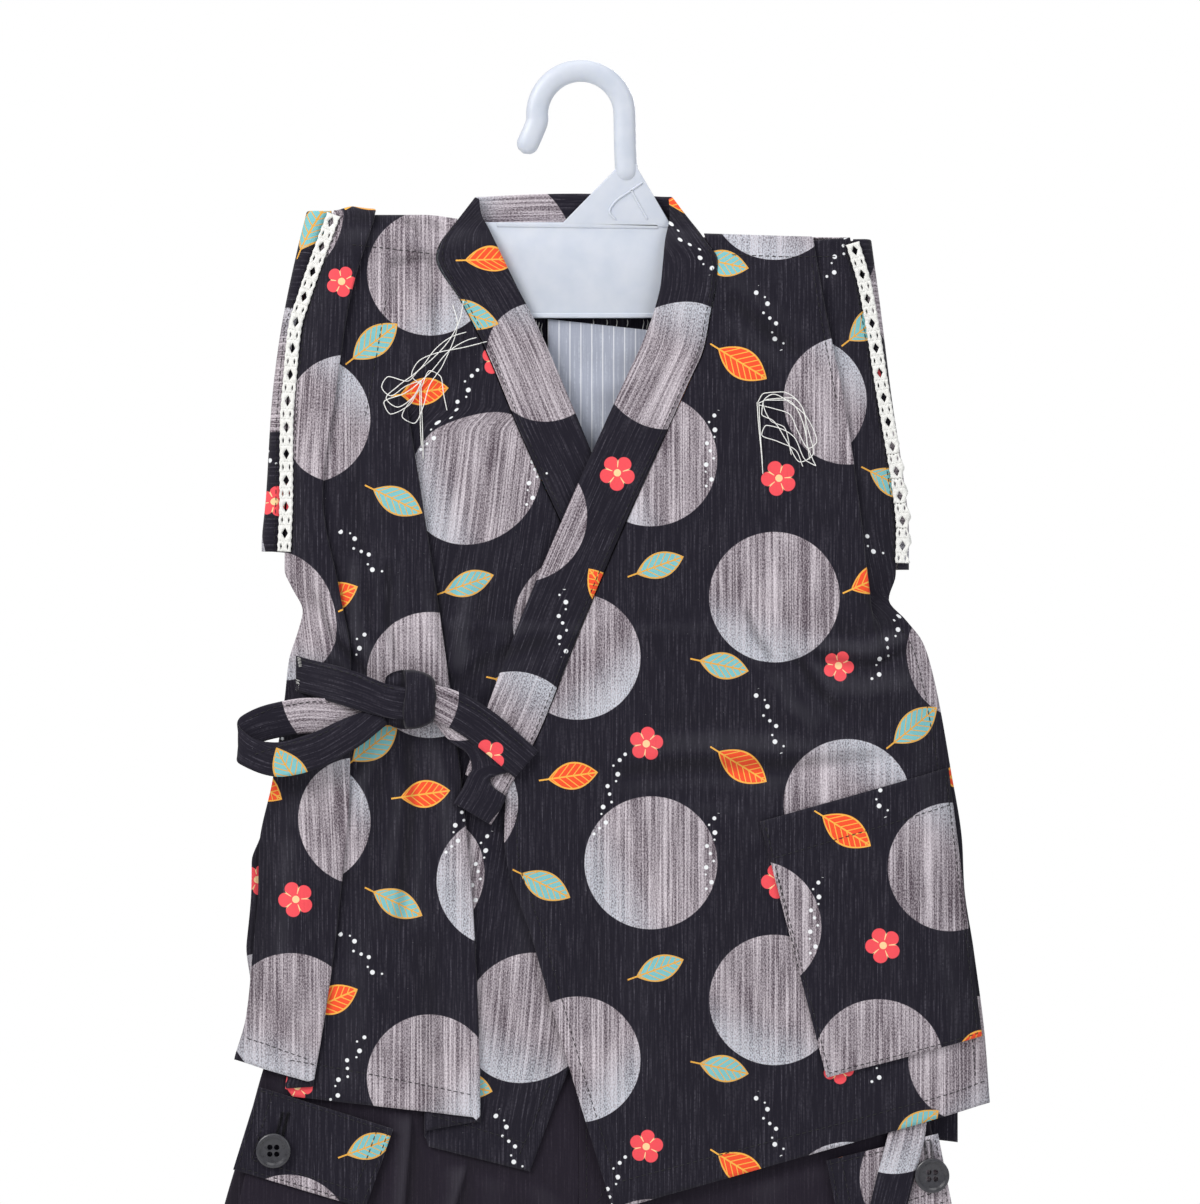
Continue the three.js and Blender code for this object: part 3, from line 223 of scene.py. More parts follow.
BACK_BAND = {
    "top_left": -45.8, "top_right": 39.6, "top_z": -50.4, "crown": 1.6, "bottom_left": -52.6,
    "bottom_right": 51.2, "bottom_z": -75.8, "end_rise": 14.6, "low_end": -5.6, "depth": 2.95,
}
FACING = {"left": -14.5, "right": 34, "left_top": -103.9, "right_top": -109.2, "bottom": -178, "depth": 2.25}

# Sleeves, folded back behind the top
SLEEVE_LAYER = 0.75
SLEEVE_FRONT = 1.0
SLEEVE_BEHIND = 5.9
SLEEVE_REACH = 108.0
RIGHT_FOLD = Chart(
    "z x", (-56, -120.4), (-72, -124.4), (-96, -129.6), (-114, -132.8), (-141, -136), (-183, -138.6),
    (-204, -140.4), (-214, -140.2),
)
LEFT_FOLD = Chart(
    "z x", (-68, 127.6), (-78.5, 129), (-96, 131.4), (-139, 136.8), (-175, 142.1), (-197, 144.3),
    (-220, 144.3),
)

# Lace over the armhole seams
RIGHT_LACE = (
    (-108.2, -58.4), (-115.3, -77.7), (-121.4, -95.3), (-125.2, -108), (-127.4, -130.5),
    (-128.8, -150.3), (-129, -183.3), (-129.9, -206),
)
LEFT_LACE = (
    (119, -71), (124.3, -89.1), (127.8, -108), (131.6, -132.2), (136.2, -159.1), (139.2, -178),
    (141, -197), (140.6, -211),
)

# Pocket, flaps and ties
POCKET = ((78.3, -324), (161, -300.6), (107.4, -435.8), (175.6, -418))
RIGHT_FLAP = ((-140.8, -440.2), (-82.1, -458.6), (-152, -476.2), (-94.2, -493.4))
LEFT_FLAP = ((107.4, -472.4), (156.2, -460.6), (114, -505.4), (162.2, -491.2))
SHORTS_DEPTH = 1.35
LEGS = Chart(
    "z right left split", (-343.4, -101, 103, 0), (-376, -117, 122, 0), (-404, -128, 136, 0),
    (-431, -138.4, 147, 0), (-462, -147, 154, 0), (-493, -156.2, 161, 0), (-535, -166, 170, 0),
    (-575, -172.6, 176, 11.5), (-615, -178, 181, 23),
)
TIE_STRAP = (
    (-124.4, -251.6, -267), (-119, -253, -268.6), (-113, -254.4, -270.4), (-106, -256, -272.4),
    (-97, -258.8, -275.2), (-90, -261.6, -277), (-83.6, -264, -278.6), (-75, -265.6, -279.6),
)
TIE_LOOP = (
    (-86.6, -9.8, -274, 11), (-100, -9.5, -278.6, 15.5), (-118, -9.2, -277.6, 15.5),
    (-134, -9.2, -280, 15.2), (-144.5, -9.8, -284, 14), (-149, -12, -288.6, 12.6),
    (-145.5, -14.2, -293, 12.6), (-132, -15.2, -296.6, 15), (-116, -15, -293, 15.5),
    (-101, -13.8, -285.6, 14), (-86.4, -12.3, -277.4, 9),
)
TIE_FRONT_TAIL = (
    (-65.5, -12.4, -270.6, 13.5), (-60, -11.8, -272.8, 15), (-52, -10.8, -276.6, 16),
    (-42, -9.8, -283.2, 16.2), (-32, -9.5, -291.6, 15.8), (-23.6, -9.4, -299, 15.6),
)
TIE_REAR_TAIL = (
    (-61.4, -9.1, -276.2, 10), (-52, -8.8, -283.2, 15), (-43, -8.1, -290, 15.6),
    (-38.6, -8, -300.4, 18), (-42, -8, -311.4, 19), (-47.4, -8, -320.6, 19),
)
INNER_TIE = (
    (146, -3, -404, 16), (145, -3, -440, 16), (143.4, -3.6, -454, 16), (142.8, -4.2, -459, 16),
    (140.8, -5.5, -467.5, 16), (136.2, -5.5, -485, 16), (132.6, -5.5, -500, 16), (129, -5.5, -514, 16),
)


@dataclass(frozen=True)
class Crease:
    """A soft ridge, or a trough if its height is negative, along a line on the cloth."""

    line: tuple[Pair, ...]
    height: float
    width: float


@dataclass(frozen=True)
class Pleat:
    """A pressed fold: the cloth rises from the right side's way up to a line, and drops at it."""

    line: tuple[Pair, ...]  # from the top down
    height: float
    run: float = 13.0  # over which it rises
    end: float = 20.0  # how far below its line it ends
    fade: float = 70.0  # over which it comes up from there

    def across(self, z: Value) -> Array:
        """Where its edge lies across, at some places up."""
        x, level = zip(*self.line)
        return np.interp(z, level[::-1], x[::-1])

    def rise(self, x: Array, z: Array) -> Array:
        """How far it stands out.

        Args:
            x: Places across.
            z: Places up.
        Returns:
            Millimetres.
        """
        inside = self.across(z) - x
        share = np.where(inside > 0, np.clip(1 - inside / self.run, 0, 1), 0)
        return self.height * share * ease((z - self.line[-1][1] + self.end) / self.fade)


def creases(*rows: Sequence[float]) -> tuple[Crease, ...]:
    """Creases from rows of height, width, and then the x and z of each point."""
    return tuple(Crease(tuple(zip(row[2::2], row[3::2])), row[0], row[1]) for row in rows)


FADE = 11.0  # how far below its top a relief reaches its full height
SIDE_FADE = 15.0  # how far inside the side seams


@dataclass(frozen=True)
class Relief:
    """How far the cloth of one side stands out, in mm, never less than nothing."""

    creases: tuple[Crease, ...]
    swells: tuple[tuple[float, float, float, float], ...]  # height, x length, z length, phase
    base: float
    top: float = -58.0
    pleats: tuple[Pleat, ...] = ()

    def at(self, x: Array, z: Array) -> Array:
        """The relief at some places.

        Args:
            x: Places across.
            z: Places up.
        Returns:
            Millimetres outwards.
        """
        total = np.full(np.shape(x), self.base, float)
        for height, across, up, phase in self.swells:
            total += height * np.sin(2 * math.pi * (x / across + z / up) + phase)
        for crease in self.creases:
            total += crease.height * self._profile(crease, x, z)
        for pleat in self.pleats:
            total += pleat.rise(x, z)
        return np.maximum(total, 0) * ease((self.top - z) / FADE)

    @staticmethod
    def _profile(crease: Crease, x: Array, z: Array) -> Array:
        """One crease's shape, 1 on its line and 0 at its ends.

        Args:
            crease: The crease.
            x: Places across.
            z: Places up.
        Returns:
            The share of its height.
        """
        points = np.array(crease.line, float)
        lengths = np.linalg.norm(np.diff(points, axis=0), axis=1)
        total, gone = lengths.sum(), 0.0
        best, share = np.full(np.shape(x), 1e9), np.zeros(np.shape(x))
        for start, end, length in zip(points, points[1:], lengths):
            way = (end - start) / length
            along = np.clip((x - start[0]) * way[0] + (z - start[1]) * way[1], 0, length)
            away = np.hypot(x - start[0] - way[0] * along, z - start[1] - way[1] * along)
            share = np.where(away < best, (gone + along) / total, share)
            best = np.minimum(best, away)
            gone += length
        return np.exp(-((best / crease.width) ** 2)) * np.sqrt(np.clip(4 * share * (1 - share), 0, 1))


FRONT = Relief(
    creases=creases(
        # the press line across the body
        (0.5, 1.7, -106, -240, -60, -238, 0, -239.5, 96, -240),
        (0.5, 2.2, 16, -320, 44, -318, 74, -319.5),
        # below the left armhole
        (-1.5, 2, 72, -230, 76, -242, 84, -255),
        (0.9, 3.4, 80, -228, 86, -240, 90, -249),
        (-1.9, 2.1, 91, -250, 97, -255, 102, -264, 115, -277),
        (1.0, 4.6, 84, -258, 92, -272, 104, -284),
        (-2.2, 1.9, 98, -250, 108, -252.8, 129, -255, 150, -246),
        (1.6, 3.8, 102, -246, 124, -248.4, 148, -240),
        (1.2, 5, 106, -262, 124, -266, 146, -262),
        (-1.5, 3.8, 14, -302, 50, -299, 90, -299, 134, -294),
        (0.9, 6, 20, -290, 60, -288, 104, -290),
        # the left chest
        (-1.4, 5, 64, -94, 80, -108, 98, -121),
        (0.8, 9, 72, -82, 76, -120, 70, -168),
        (0.8, 7, 96, -84, 100, -130, 108, -190),
        (-0.7, 11, 62, -140, 58, -190, 64, -232),
        # gathered in under the neckband at the right shoulder
        (-1.6, 2, -74, -57, -66, -62, -57, -69),
        (1.3, 2.4, -75, -62, -75, -71, -65, -76),
        (-1.6, 2.2, -84, -80, -75, -79, -64, -76),
        (-1.2, 1.9, -65.5, -74, -65, -95, -63, -122),
        # the right shoulder and chest
        (-1, 3, -76, -60, -68, -70, -66, -86),
        (-1.2, 3.4, -86, -62, -80, -78, -82, -98),
        (0.8, 5, -72, -66, -74, -92, -70, -124),
        (0.8, 10, -58, -110, -52, -160, -40, -222),
        (-0.8, 6, -98, -120, -100, -160, -96, -214),
        # pulled into the knot
        (-1.8, 2.2, -92, -262, -108, -244, -118, -222),
        (1.4, 3.6, -88, -258, -98, -240, -100, -206),
        (-1.3, 2.4, -80, -256, -84, -238, -84, -210),
        (-1.7, 1.9, -58, -264, -61.6, -243, -64, -220),
        (1.2, 3.6, -52, -262, -52, -240, -48, -212),
        (-0.9, 3.4, -60, -266, -38, -252, -14, -244),
        (1.4, 4.4, -84, -282, -96, -306, -100, -346),
        (-1.6, 3, -76, -284, -74, -318, -80, -372),
        (1.1, 4.6, -66, -284, -60, -312, -56, -350),
        (-1.4, 2.8, -88, -280, -106, -292, -122, -298),
        # long falls to the hem
        (1.2, 9, -128, -330, -132, -380, -140, -436),
        (1, 11, -94, -350, -98, -400, -104, -450),
        (-1, 9, -68, -370, -66, -410, -62, -464),
        (0.8, 8, -26, -350, -24, -400, -30, -476),
        (1, 15, 28, -250, 22, -330, 28, -420, 40, -486),
        (-0.7, 10, 6, -330, 10, -400, 24, -480),
        (-0.8, 12, 64, -330, 66, -400, 84, -474),
        (0.7, 9, 90, -270, 84, -300, 74, -336),
        (0.8, 14, 120, -300, 130, -360, 146, -452),
    ),
    swells=((0.22, 150, 420, 0.4), (0.16, -95, 260, 1.9), (0.12, 64, -170, 2.6), (0.08, 41, 118, 0.9)),
    base=1.8,
)
BEHIND = Relief(
    creases=creases(
        (1.1, 12, -60, -96, -40, -150, -46, -230),
        (1, 14, 46, -100, 34, -160, 44, -250),
        (-0.8, 16, -6, -110, 2, -190, -4, -300),
        (1.3, 14, -96, -250, -84, -320, -100, -432),
        (1, 16, -30, -290, -36, -370, -28, -446),
        (-0.8, 15, 30, -260, 38, -350, 24, -452),
        (1.1, 18, 96, -246, 88, -330, 108, -458),
        (-1.3, 7, -118, -262, -84, -274, -52, -268),
        (-1, 8, 136, -262, 96, -282, 58, -276),
        (-0.5, 3, -120, -238, -10, -242, 130, -240),
        (-1, 7, -132, -98, -92, -112, -40, -108),
        (1.1, 9, -134, -168, -88, -158, -38, -172),
        (-1, 8, 134, -112, 96, -124, 44, -118),
        (1, 10, 138, -186, 94, -176, 48, -190),
    ),
    swells=((0.2, 170, 380, 1.1), (0.14, -88, 240, 0.2), (0.1, 58, -150, 1.7)),
    base=1.6,
)
SHORTS = Relief(
    creases=creases(
        (-0.9, 8, -30, -470, -24, -520, -36, -600),
        (1.2, 11, -110, -490, -116, -545, -124, -612),
        (1, 10, 78, -468, 88, -520, 96, -610),
        (0.8, 6, 20, -500, 14, -540, 22, -590),
        (-0.9, 9, 124, -510, 130, -560, 146, -612),
        (-0.8, 7, -148, -500, -100, -516, -60, -508),
        (-0.8, 8, 150, -520, 104, -534, 60, -526),
    ),
    swells=((0.2, 120, 300, 0.7), (0.12, -70, 190, 2.1)),
    base=1.3,
    top=-428.0,
    pleats=(
        Pleat(((-43, -430), (-48.5, -471), (-55, -493), (-62, -556), (-64, -600)), 1.5),
        Pleat(((-73, -430), (-74.5, -462), (-77.5, -495), (-80, -556), (-81, -600)), 1.7),
        Pleat(((41, -440), (42, -474), (49, -520), (46, -590)), 1.5),
    ),
)
LEG_HEMS = {-1: ((-175, -600), (-100, -600), (-26, -600)), 1: ((27, -600), (100, -600), (178, -600))}
LEG_COLUMNS = {-1: (28, 16, 48), 1: (28, 64)}  # columns between a leg's pleats, from its inner edge
PLEAT_GAP = 0.12


def from_sides(x: Array, z: Array) -> Array:
    """The share of a relief that is left: 0 at a side seam, which stays shut, and 1 well inside it."""
    return ease(np.minimum(x - RIGHT_SIDE.at("x", z), LEFT_SIDE.at("x", z) - x) / SIDE_FADE)


def front_relief(x: Array, z: Array) -> Array:
    """How far the top's front layers, and what lies on them, stand out forwards, in mm."""
    return FRONT.at(x, z) * from_sides(x, z)


def back_relief(x: Array, z: Array) -> Array:
    """How far the top's back, and what lies behind it, stand out backwards, in mm."""
    return BEHIND.at(x, z) * from_sides(x, z)


def shorts_relief(x: Array, z: Array) -> Array:
    """How far the shorts' front stands out, in mm, no more than the top where that covers it."""
    hem = np.interp(x, (-150, -71, -67, -14, 13, 61, 179), (-428, -449, -466, -479, -494, -480, -447))
    return mix(front_relief(x, z) * 0.9, SHORTS.at(x, z) + 0.6, ease((hem - 1 - z) / 10))


def roll_over(drop: Value) -> tuple[Array, Array]:
    """The outward and the upward share of a surface some mm below the shoulder's ridge."""
    up = 1 - np.clip(drop / SHOULDER_TURN, 0, 1)
    return np.sqrt(1 - up * up), up


def front_point(x: Value, z: Value, side: Value, ridge: Value, level: Value) -> Array:
    """Points of the front's cloth.

    Args:
        x: Places across.
        z: Places up.
        side: The panel's side edge there.
        ridge: The shoulder's height there.
        level: How far outside the innermost layer.
    Returns:
        An array of points in mm.
    """
    depth = mix(SIDE_DEPTH.at("depth", z), FLAT.at("depth", z), ease(abs(x - side) / TAPER))
    out, up = roll_over(ridge - z)
    return np.stack([x, -(SHOULDER_GAP + (depth - SHOULDER_GAP + level) * out), z + level * up], -1)


def fold_across(edge: float, depth: float, top: float, height: float, folded: float) -> Array:
    """Points across a fold: out over its edge, back underneath, and out again.

    Args:
        edge: Where the fold's edge lies.
        depth: How deep it is folded.
        top: The level of its outer layer.
        height: 1 where the layers lie apart, 0 where they fall together.
        folded: 1 where it is folded, 0 where it opens flat.
    Returns:
        Pairs of x and level.
    """
    bend = np.linspace(0, math.pi, BEND)
    outer = np.stack([edge - TURN + TURN * np.sin(bend), TURN * (1 - np.cos(bend))], -1)
    share = np.linspace(0, 1, LYING + 2)[1:-1]
    lying = np.stack([mix(edge - TURN, edge - depth + TURN, share), np.full(LYING, STEP)], -1)
    inner = np.stack([edge - depth + TURN - TURN * np.sin(bend), STEP + TURN * (1 - np.cos(bend))], -1)
    points = np.concatenate([outer, lying, inner])
    spread = np.linspace(-1, 1, len(points))
    x = mix(edge + spread * abs(spread) * 2.5, points[:, 0], folded)
    return np.stack([x, top - points[:, 1] * height], -1)


def stretch(start: Array, end: Array, count: int) -> Array:
    """Evenly spaced points from one to another, with both ends."""
    return mix(np.array(start, float), np.array(end, float), np.linspace(0, 1, count)[:, None])


def right_row(drop: float) -> Array:
    """The right front's row: its side, its folded tuck, its pleat and its front edge.

    Args:
        drop: Millimetres below the shoulder's top.
    Returns:
        The row's points.
    """
    hem, start = RIGHT_HEM, PLEAT_START
    nominal = RIGHT_TOP - drop
    fade = ease((hem["start"] - nominal) / (hem["start"] - hem["hem"]))
    side = float(RIGHT_SIDE.at("x", nominal))
    low = {name: nominal - fade * hem[name] for name in ("tuck", "pleat", "edge")}
    tuck, tuck_depth = (float(RIGHT_FOLDS.at(name, low["tuck"])) for name in ("tuck", "tuck_depth"))
    pleat, pleat_depth = (float(RIGHT_FOLDS.at(name, low["pleat"])) for name in ("pleat", "pleat_depth"))
    settle = 1 - ease(drop / SETTLE)
    edge_ridge = RIGHT_RIDGE.at("z", RIGHT_FRONT_EDGE.at("x", nominal))
    edge = float(RIGHT_FRONT_EDGE.at("x", low["edge"] + (edge_ridge - RIGHT_TOP) * settle)) - SEAM
    opened = ease((start["top"] - nominal) / (start["top"] - start["full"]))
    folded = ease((start["full"] - nominal) / (start["full"] - start["folded"]))
    flap = TUCK_START * opened + 2 * STEP
    tuck_fold = fold_across(tuck, tuck_depth, flap, 1, 1)
    pleat_fold = fold_across(pleat, pleat_depth, 2 * STEP * opened, opened, folded)
    first = stretch((side, 0), tuck_fold[0], 34)[:-1]
    first[:, 1] = flap * ease((first[:, 0] - side) / (tuck - tuck_depth - side))
    middle = stretch(tuck_fold[-1], pleat_fold[0], 40)[1:-1]
    last = stretch(pleat_fold[-1], (edge, 0), 48)[1:]
    parts = (
        (first, 0, hem["tuck"] * 0.85), (tuck_fold, hem["tuck"], hem["tuck"] + 2),
        (middle, hem["tuck"] + 5, hem["pleat"] * 0.92), (pleat_fold[:BEND], hem["pleat"], hem["pleat"]),
        (pleat_fold[BEND:], hem["pleat"] + 0.5, hem["inside"]),
        (last, hem["inside"] + 3, hem["edge"]),
    )
    across = np.concatenate([part for part, _, _ in parts])
    lows = np.concatenate([np.linspace(a, b, len(part)) for part, a, b in parts])
    ridge = RIGHT_RIDGE.at("z", across[:, 0])
    z = nominal - fade * lows + (ridge - RIGHT_TOP) * settle
    return front_point(across[:, 0], z, side, ridge, across[:, 1])


def left_row(drop: float) -> Array:
    """The left front's row: its front edge, its tuck by the armhole and its side.

    Args:
        drop: Millimetres below the shoulder's top.
    Returns:
        The row's points.
    """
    hem, end = LEFT_HEM, LEFT_TUCK_END
    nominal = LEFT_TOP - drop
    side = float(LEFT_SIDE.at("x", nominal))
    slope = hem["slope"] * ease((hem["start"] - nominal) / (hem["start"] - hem["hem"]))
    guess = LEFT_FRONT_EDGE.at("x", nominal - slope * (side - 10))
    edge = float(LEFT_FRONT_EDGE.at("x", nominal - slope * (side - guess))) + SEAM
    tuck, tuck_depth = (float(LEFT_FOLDS.at(name, nominal)) for name in ("tuck", "tuck_depth"))
    shallow = ease((nominal - end["flat"]) / (end["ramp"] - end["flat"]))
    folded = ease((nominal - end["ramp"]) / (end["open"] - end["ramp"]))
    raised = OVER * ease(drop / 25)

    def rise(x: Array) -> Array:
        """The level over the right front, none at the side where the tuck has ended."""
        return mix(raised * ease((side - x) / LEFT_RAMP), raised, shallow)

    fold = fold_across(tuck, tuck_depth, 0, shallow, folded)
    fold[:, 1] += rise(fold[:, 0])
    first = stretch((edge, 0), fold[0], 116)[:-1]
    first[:, 1] = rise(first[:, 0])
    last = stretch(fold[-1], (side, 0), 24)[1:]
    last[:, 1] = mix(rise(last[:, 0]), last[:, 1], shallow)
    across = np.concatenate([first, fold, last])
    ridge = LEFT_RIDGE.at("z", across[:, 0])
    z = nominal - slope * (side - across[:, 0]) + (ridge - LEFT_TOP) * (1 - ease(drop / SETTLE))
    return front_point(across[:, 0], z, side, ridge, across[:, 1])


def right_surface(x: Value, z: Value) -> Array:
    """The depth of the right front's outermost layer.

    Args:
        x: Places across.
        z: Places up.
    Returns:
        The y of its middle surface.
    """
    side, tuck, pleat = RIGHT_SIDE.at("x", z), RIGHT_FOLDS.at("tuck", z), RIGHT_FOLDS.at("pleat", z)
    inside = tuck - RIGHT_FOLDS.at("tuck_depth", z)
    flap = TUCK_START + 2 * STEP
    level = np.where(
        x <= tuck,
        flap * ease((x - side) / (inside - side)),
        np.where(x <= pleat, mix(TUCK_START, 2 * STEP, (x - inside) / (pleat - inside)), 0),
    )
    return front_point(x, z, side, RIGHT_TOP, level)[..., 1]


def drops(end: float, count: int) -> Array:
    """Row places down a panel to its end, close together where it turns over the shoulder."""
    return np.concatenate([[0, 0.15, 0.4, 0.8, 1.3, 1.9], np.linspace(3.2, end, count)])


def back_panel() -> Array:
    """Rows of points of the back, from the right side seam to the left one."""
    share = np.linspace(0, 1, 140)
    rows = []
    for drop in drops(BACK_LENGTH, 170):
        x0 = mix(*SHOULDERS, share)
        hem = mix(*BACK_HEM, share)
        start = BACK_TOP.at("z", x0)
        z = mix(start - drop, start + (hem - start) * drop / BACK_LENGTH, ease((drop - 12) / 360))
        peek = BACK_PEEK["x"] * ease((BACK_PEEK["top"] - z) / 12) * ease((z - BACK_PEEK["bottom"]) / 20)
        vent = BACK_VENT["x"] * ease((BACK_VENT["top"] - z) / BACK_VENT["length"])
        right, left = RIGHT_SIDE.at("x", z) - peek, LEFT_SIDE.at("x", z) - vent
        x = mix(right, left, share)
        spread = np.minimum(x - right, left - x)
        hollow = BACK_HOLLOW["depth"] * ease((BACK_HOLLOW["half"] - abs(x)) / BACK_HOLLOW["edge"])
        hollow = hollow * ease((z - BACK_HOLLOW["bottom"]) / BACK_HOLLOW["fade"])
        depth = mix(SIDE_DEPTH.at("depth", z), FLAT.at("depth", z) + hollow, ease(spread / TAPER))
        turned = mix(1, roll_over(drop)[0], BACK_TOP.at("roll", x0))
        rows.append(np.stack([x, SHOULDER_GAP + (depth - SHOULDER_GAP) * turned, z], -1))
    return np.array(rows)


def along_route(rows: Route, count: int, measure: int = 3) -> Array:
    """Rows of numbers made denser on a smooth line through them.

    Args:
        rows: The given rows.
        count: How many to return.
        measure: How many of the first columns give the distance between rows.
    Returns:
        The denser rows.
    """
    table = np.array(rows, float)
    gone = way_along(table[:, :measure])
    names = [f"c{i}" for i in range(table.shape[1])]
    chart = Chart(" ".join(["s", *names]), *np.column_stack([gone, table]))
    place = np.linspace(0, gone[-1], count)
    return np.stack([chart.at(name, place) for name in names], -1)


def front_band(table: Route, level: float, count: int = 150) -> Array:
    """A front neckband between its seam and its inner edge.

    Args:
        table: Rows of seam x, seam z, inner x and inner z.
        level: How far over the innermost cloth it lies.
        count: How many rows.
    Returns:
        Rows of points.
    """
    dense = along_route(table, count, 4)[:, None, :]
    share = np.linspace(0, 1, 13)[None, :]
    x = mix(dense[..., 0], dense[..., 2], share)
    z = mix(dense[..., 1], dense[..., 3], share)
    depth = mix(BAND_TOP["depth"], FLAT.at("depth", z) + 0.3, ease((BAND_TOP["z"] - z) / BAND_TOP["reach"]))
    crown = BAND_CROWN * np.sqrt(np.sin(np.pi * np.clip(share, 0.0, 1.0)))
    y = -depth - level * ease((BAND_TOP["z"] - z - 8) / 40) - crown * ease((-56 - z) / 12)
    return np.stack([x, y, z], -1)


def back_band() -> Array:
    """Rows of points of the neckband round the back of the neck."""
    share, down = np.linspace(0, 1, 60)[None, :], np.linspace(0, 1, 14)[:, None]
    out = abs(2 * share - 1)
    band = BACK_BAND
    ends = [mix(band[f"{edge}_left"], band[f"{edge}_right"], share) for edge in ("top", "bottom")]
    x = mix(*ends, down)
    top = band["top_z"] + band["crown"] * np.sin(np.pi * share)
    low = band["bottom_z"] + out**6 * (band["end_rise"] + band["low_end"] * share)
    z = mix(top, low, down)
    end = mix(BAND_TOP["depth"], BAND_TOP["beside"], ease((BAND_TOP["clear"] - z) / BAND_TOP["turn"]))
    return np.stack([x, mix(band["depth"], end, out**10) + 0 * z, z], -1)


def neck_facing() -> Array:
    """Rows of points of the light cloth inside the back of the neck, crumpled a little."""
    share, down = np.linspace(0, 1, 48)[None, :], np.linspace(0, 1, 60)[:, None]
    x = mix(FACING["left"], FACING["right"], share) + 0 * down
    z = mix(mix(FACING["left_top"], FACING["right_top"], share), FACING["bottom"], down)
    crumple = 0.34 * np.sin(z / 2.9 + 1.3 * np.sin(x / 13)) * np.sin(x / 21 + 1) ** 2
    crumple += 0.24 * np.sin(z / 5.3 - x / 9)
    return np.stack([x, FACING["depth"] - 0.5 + crumple * ease((z + 152) / 24), z], -1)


def sleeve_grid(fold: Chart, seam: Chart, heights: Sequence[float], out: int) -> Array:
    """A sleeve: from the armhole out to its fold, round it, and flat behind to the cuff.

    Args:
        fold: The line it folds back along.
        seam: The armhole's line.
        heights: The top, the bottom, the cuff's top and the cuff's bottom.
        out: -1 for the right sleeve and 1 for the left.
    Returns:
        Rows of points, from the armhole to the cuff.
    """
    top, bottom, end_top, end_bottom = heights
    radius = (SLEEVE_BEHIND + SLEEVE_FRONT) / 2
    reach = radius + SLEEVE_LAYER + 0.5
    levels, bends = np.linspace(0, 1, 34), HALF_TURN
    side = np.concatenate([np.ones_like(levels), np.cos(bends), -np.ones_like(levels)])
    up = np.concatenate([levels, np.ones_like(bends), levels[::-1]])
    lift = SLEEVE_LAYER * np.concatenate([np.zeros_like(levels), np.sin(bends), np.zeros_like(levels)])
    level = mix(bottom, top, up)
    centre = fold.at("x", level) - out * reach
    arm = radius + SLEEVE_LAYER * side
    rows = [np.stack([seam.at("x", level) + out * 0.8, -2 * side, level + lift], -1)]
    for share in np.linspace(0.1, 1, 12):
        angle = share * math.pi
        x, y = centre + out * arm * np.sin(angle), radius - SLEEVE_FRONT - arm * math.cos(angle)
        rows.append(np.stack([x, y, level + lift], -1))
    for share in np.linspace(0, 1, 36)[1:]:
        z = mix(mix(bottom, end_bottom, share), mix(top, end_top, share), up) + lift
        rows.append(np.stack([centre - out * share * SLEEVE_REACH, radius - SLEEVE_FRONT + arm, z], -1))
    return np.array(rows)


def strip_grid(route: Route, count: int, cup: float = 0.35) -> Array:
    """A strip of cloth along a route of x, y, z and width, in the front plane.

    Args:
        route: The route's rows.
        count: How many rows to return.
        cup: How far its middle stands out.
    Returns:
        Rows of points across the strip.
    """
    table = np.array(route, float)
    ways = []
    for i in range(len(table)):
        before, after = table[max(0, i - 1)], table[min(len(table) - 1, i + 1)]
        way = np.array([after[0] - before[0], after[2] - before[2]])
        if abs(way[0]) < 6 and abs(after[1] - before[1]) > 3:
            across = np.array([0.0, 1.0])
        else:
            way /= np.linalg.norm(way)
            across = np.array([-way[1], way[0]])
        ways.append(-across if across[1] < -0.3 else across)
    dense = along_route(np.column_stack([table, ways]), count)[:, None, :]
    share = np.linspace(-0.5, 0.5, 11)[None, :]
    length = np.hypot(dense[..., 4], dense[..., 5])
    x = dense[..., 0] + share * dense[..., 3] * dense[..., 4] / length
    z = dense[..., 2] + share * dense[..., 3] * dense[..., 5] / length
    return np.stack([x, dense[..., 1] - cup * np.cos(np.pi * share) + 0 * x, z], -1)


def patch_grid(corners: Line, across: int, down: int, depth: Surface) -> Array:
    """Four corners filled with points, set on a surface.

    Args:
        corners: Top left, top right, bottom left and bottom right, each x and z.
        across: Points across.
        down: Points down.
        depth: The surface's y at x and z.
    Returns:
        Rows of points.
    """
    a, b, c, d = (np.array(corner, float) for corner in corners)
    u, v = np.linspace(0, 1, across)[None, :, None], np.linspace(0, 1, down)[:, None, None]
    flat = mix(mix(a, b, u), mix(c, d, u), v)
    x, z = flat[..., 0], flat[..., 1]
    return np.stack([x, depth(x, z), z], -1)


def pocket_depth(x: Array, z: Array) -> Array:
    """The patch pocket's y, on the left front below its tuck."""
    side = LEFT_SIDE.at("x", z)
    level = OVER * ease((side - x) / LEFT_RAMP) + STEP + 0.15
    return front_point(x, z, side, LEFT_TOP, level)[..., 1]


LEG_LAP = 1.5  # how far the left leg laps over the right at the middle seams
LEG_LIFT = 0.45  # how far the lapped edges move apart
LEG_ROLL = 5.0  # how wide the edges roll


def leg_columns(inner: float, side: float, z: float, out: int) -> Array:
    """Places across a leg, with two close together at each pleat.

    Args:
        inner: Its inner edge.
        side: Its outer edge.
        z: The height.
        out: -1 for the right leg and 1 for the left.
    Returns:
        The places, from the inner edge out.
    """
    folds = [float(pleat.across(z)) for pleat in SHORTS.pleats if pleat.across(z) * out > 0]
    starts = [inner, *(x + out * PLEAT_GAP for x in folds)]
    ends = [*(x - out * PLEAT_GAP for x in folds), side]
    powers = (1.15, *(1.0 for _ in folds))
    parts = zip(starts, ends, LEG_COLUMNS[out], powers)
    return np.concatenate([mix(a, b, np.linspace(0, 1, count) ** power) for a, b, count, power in parts])


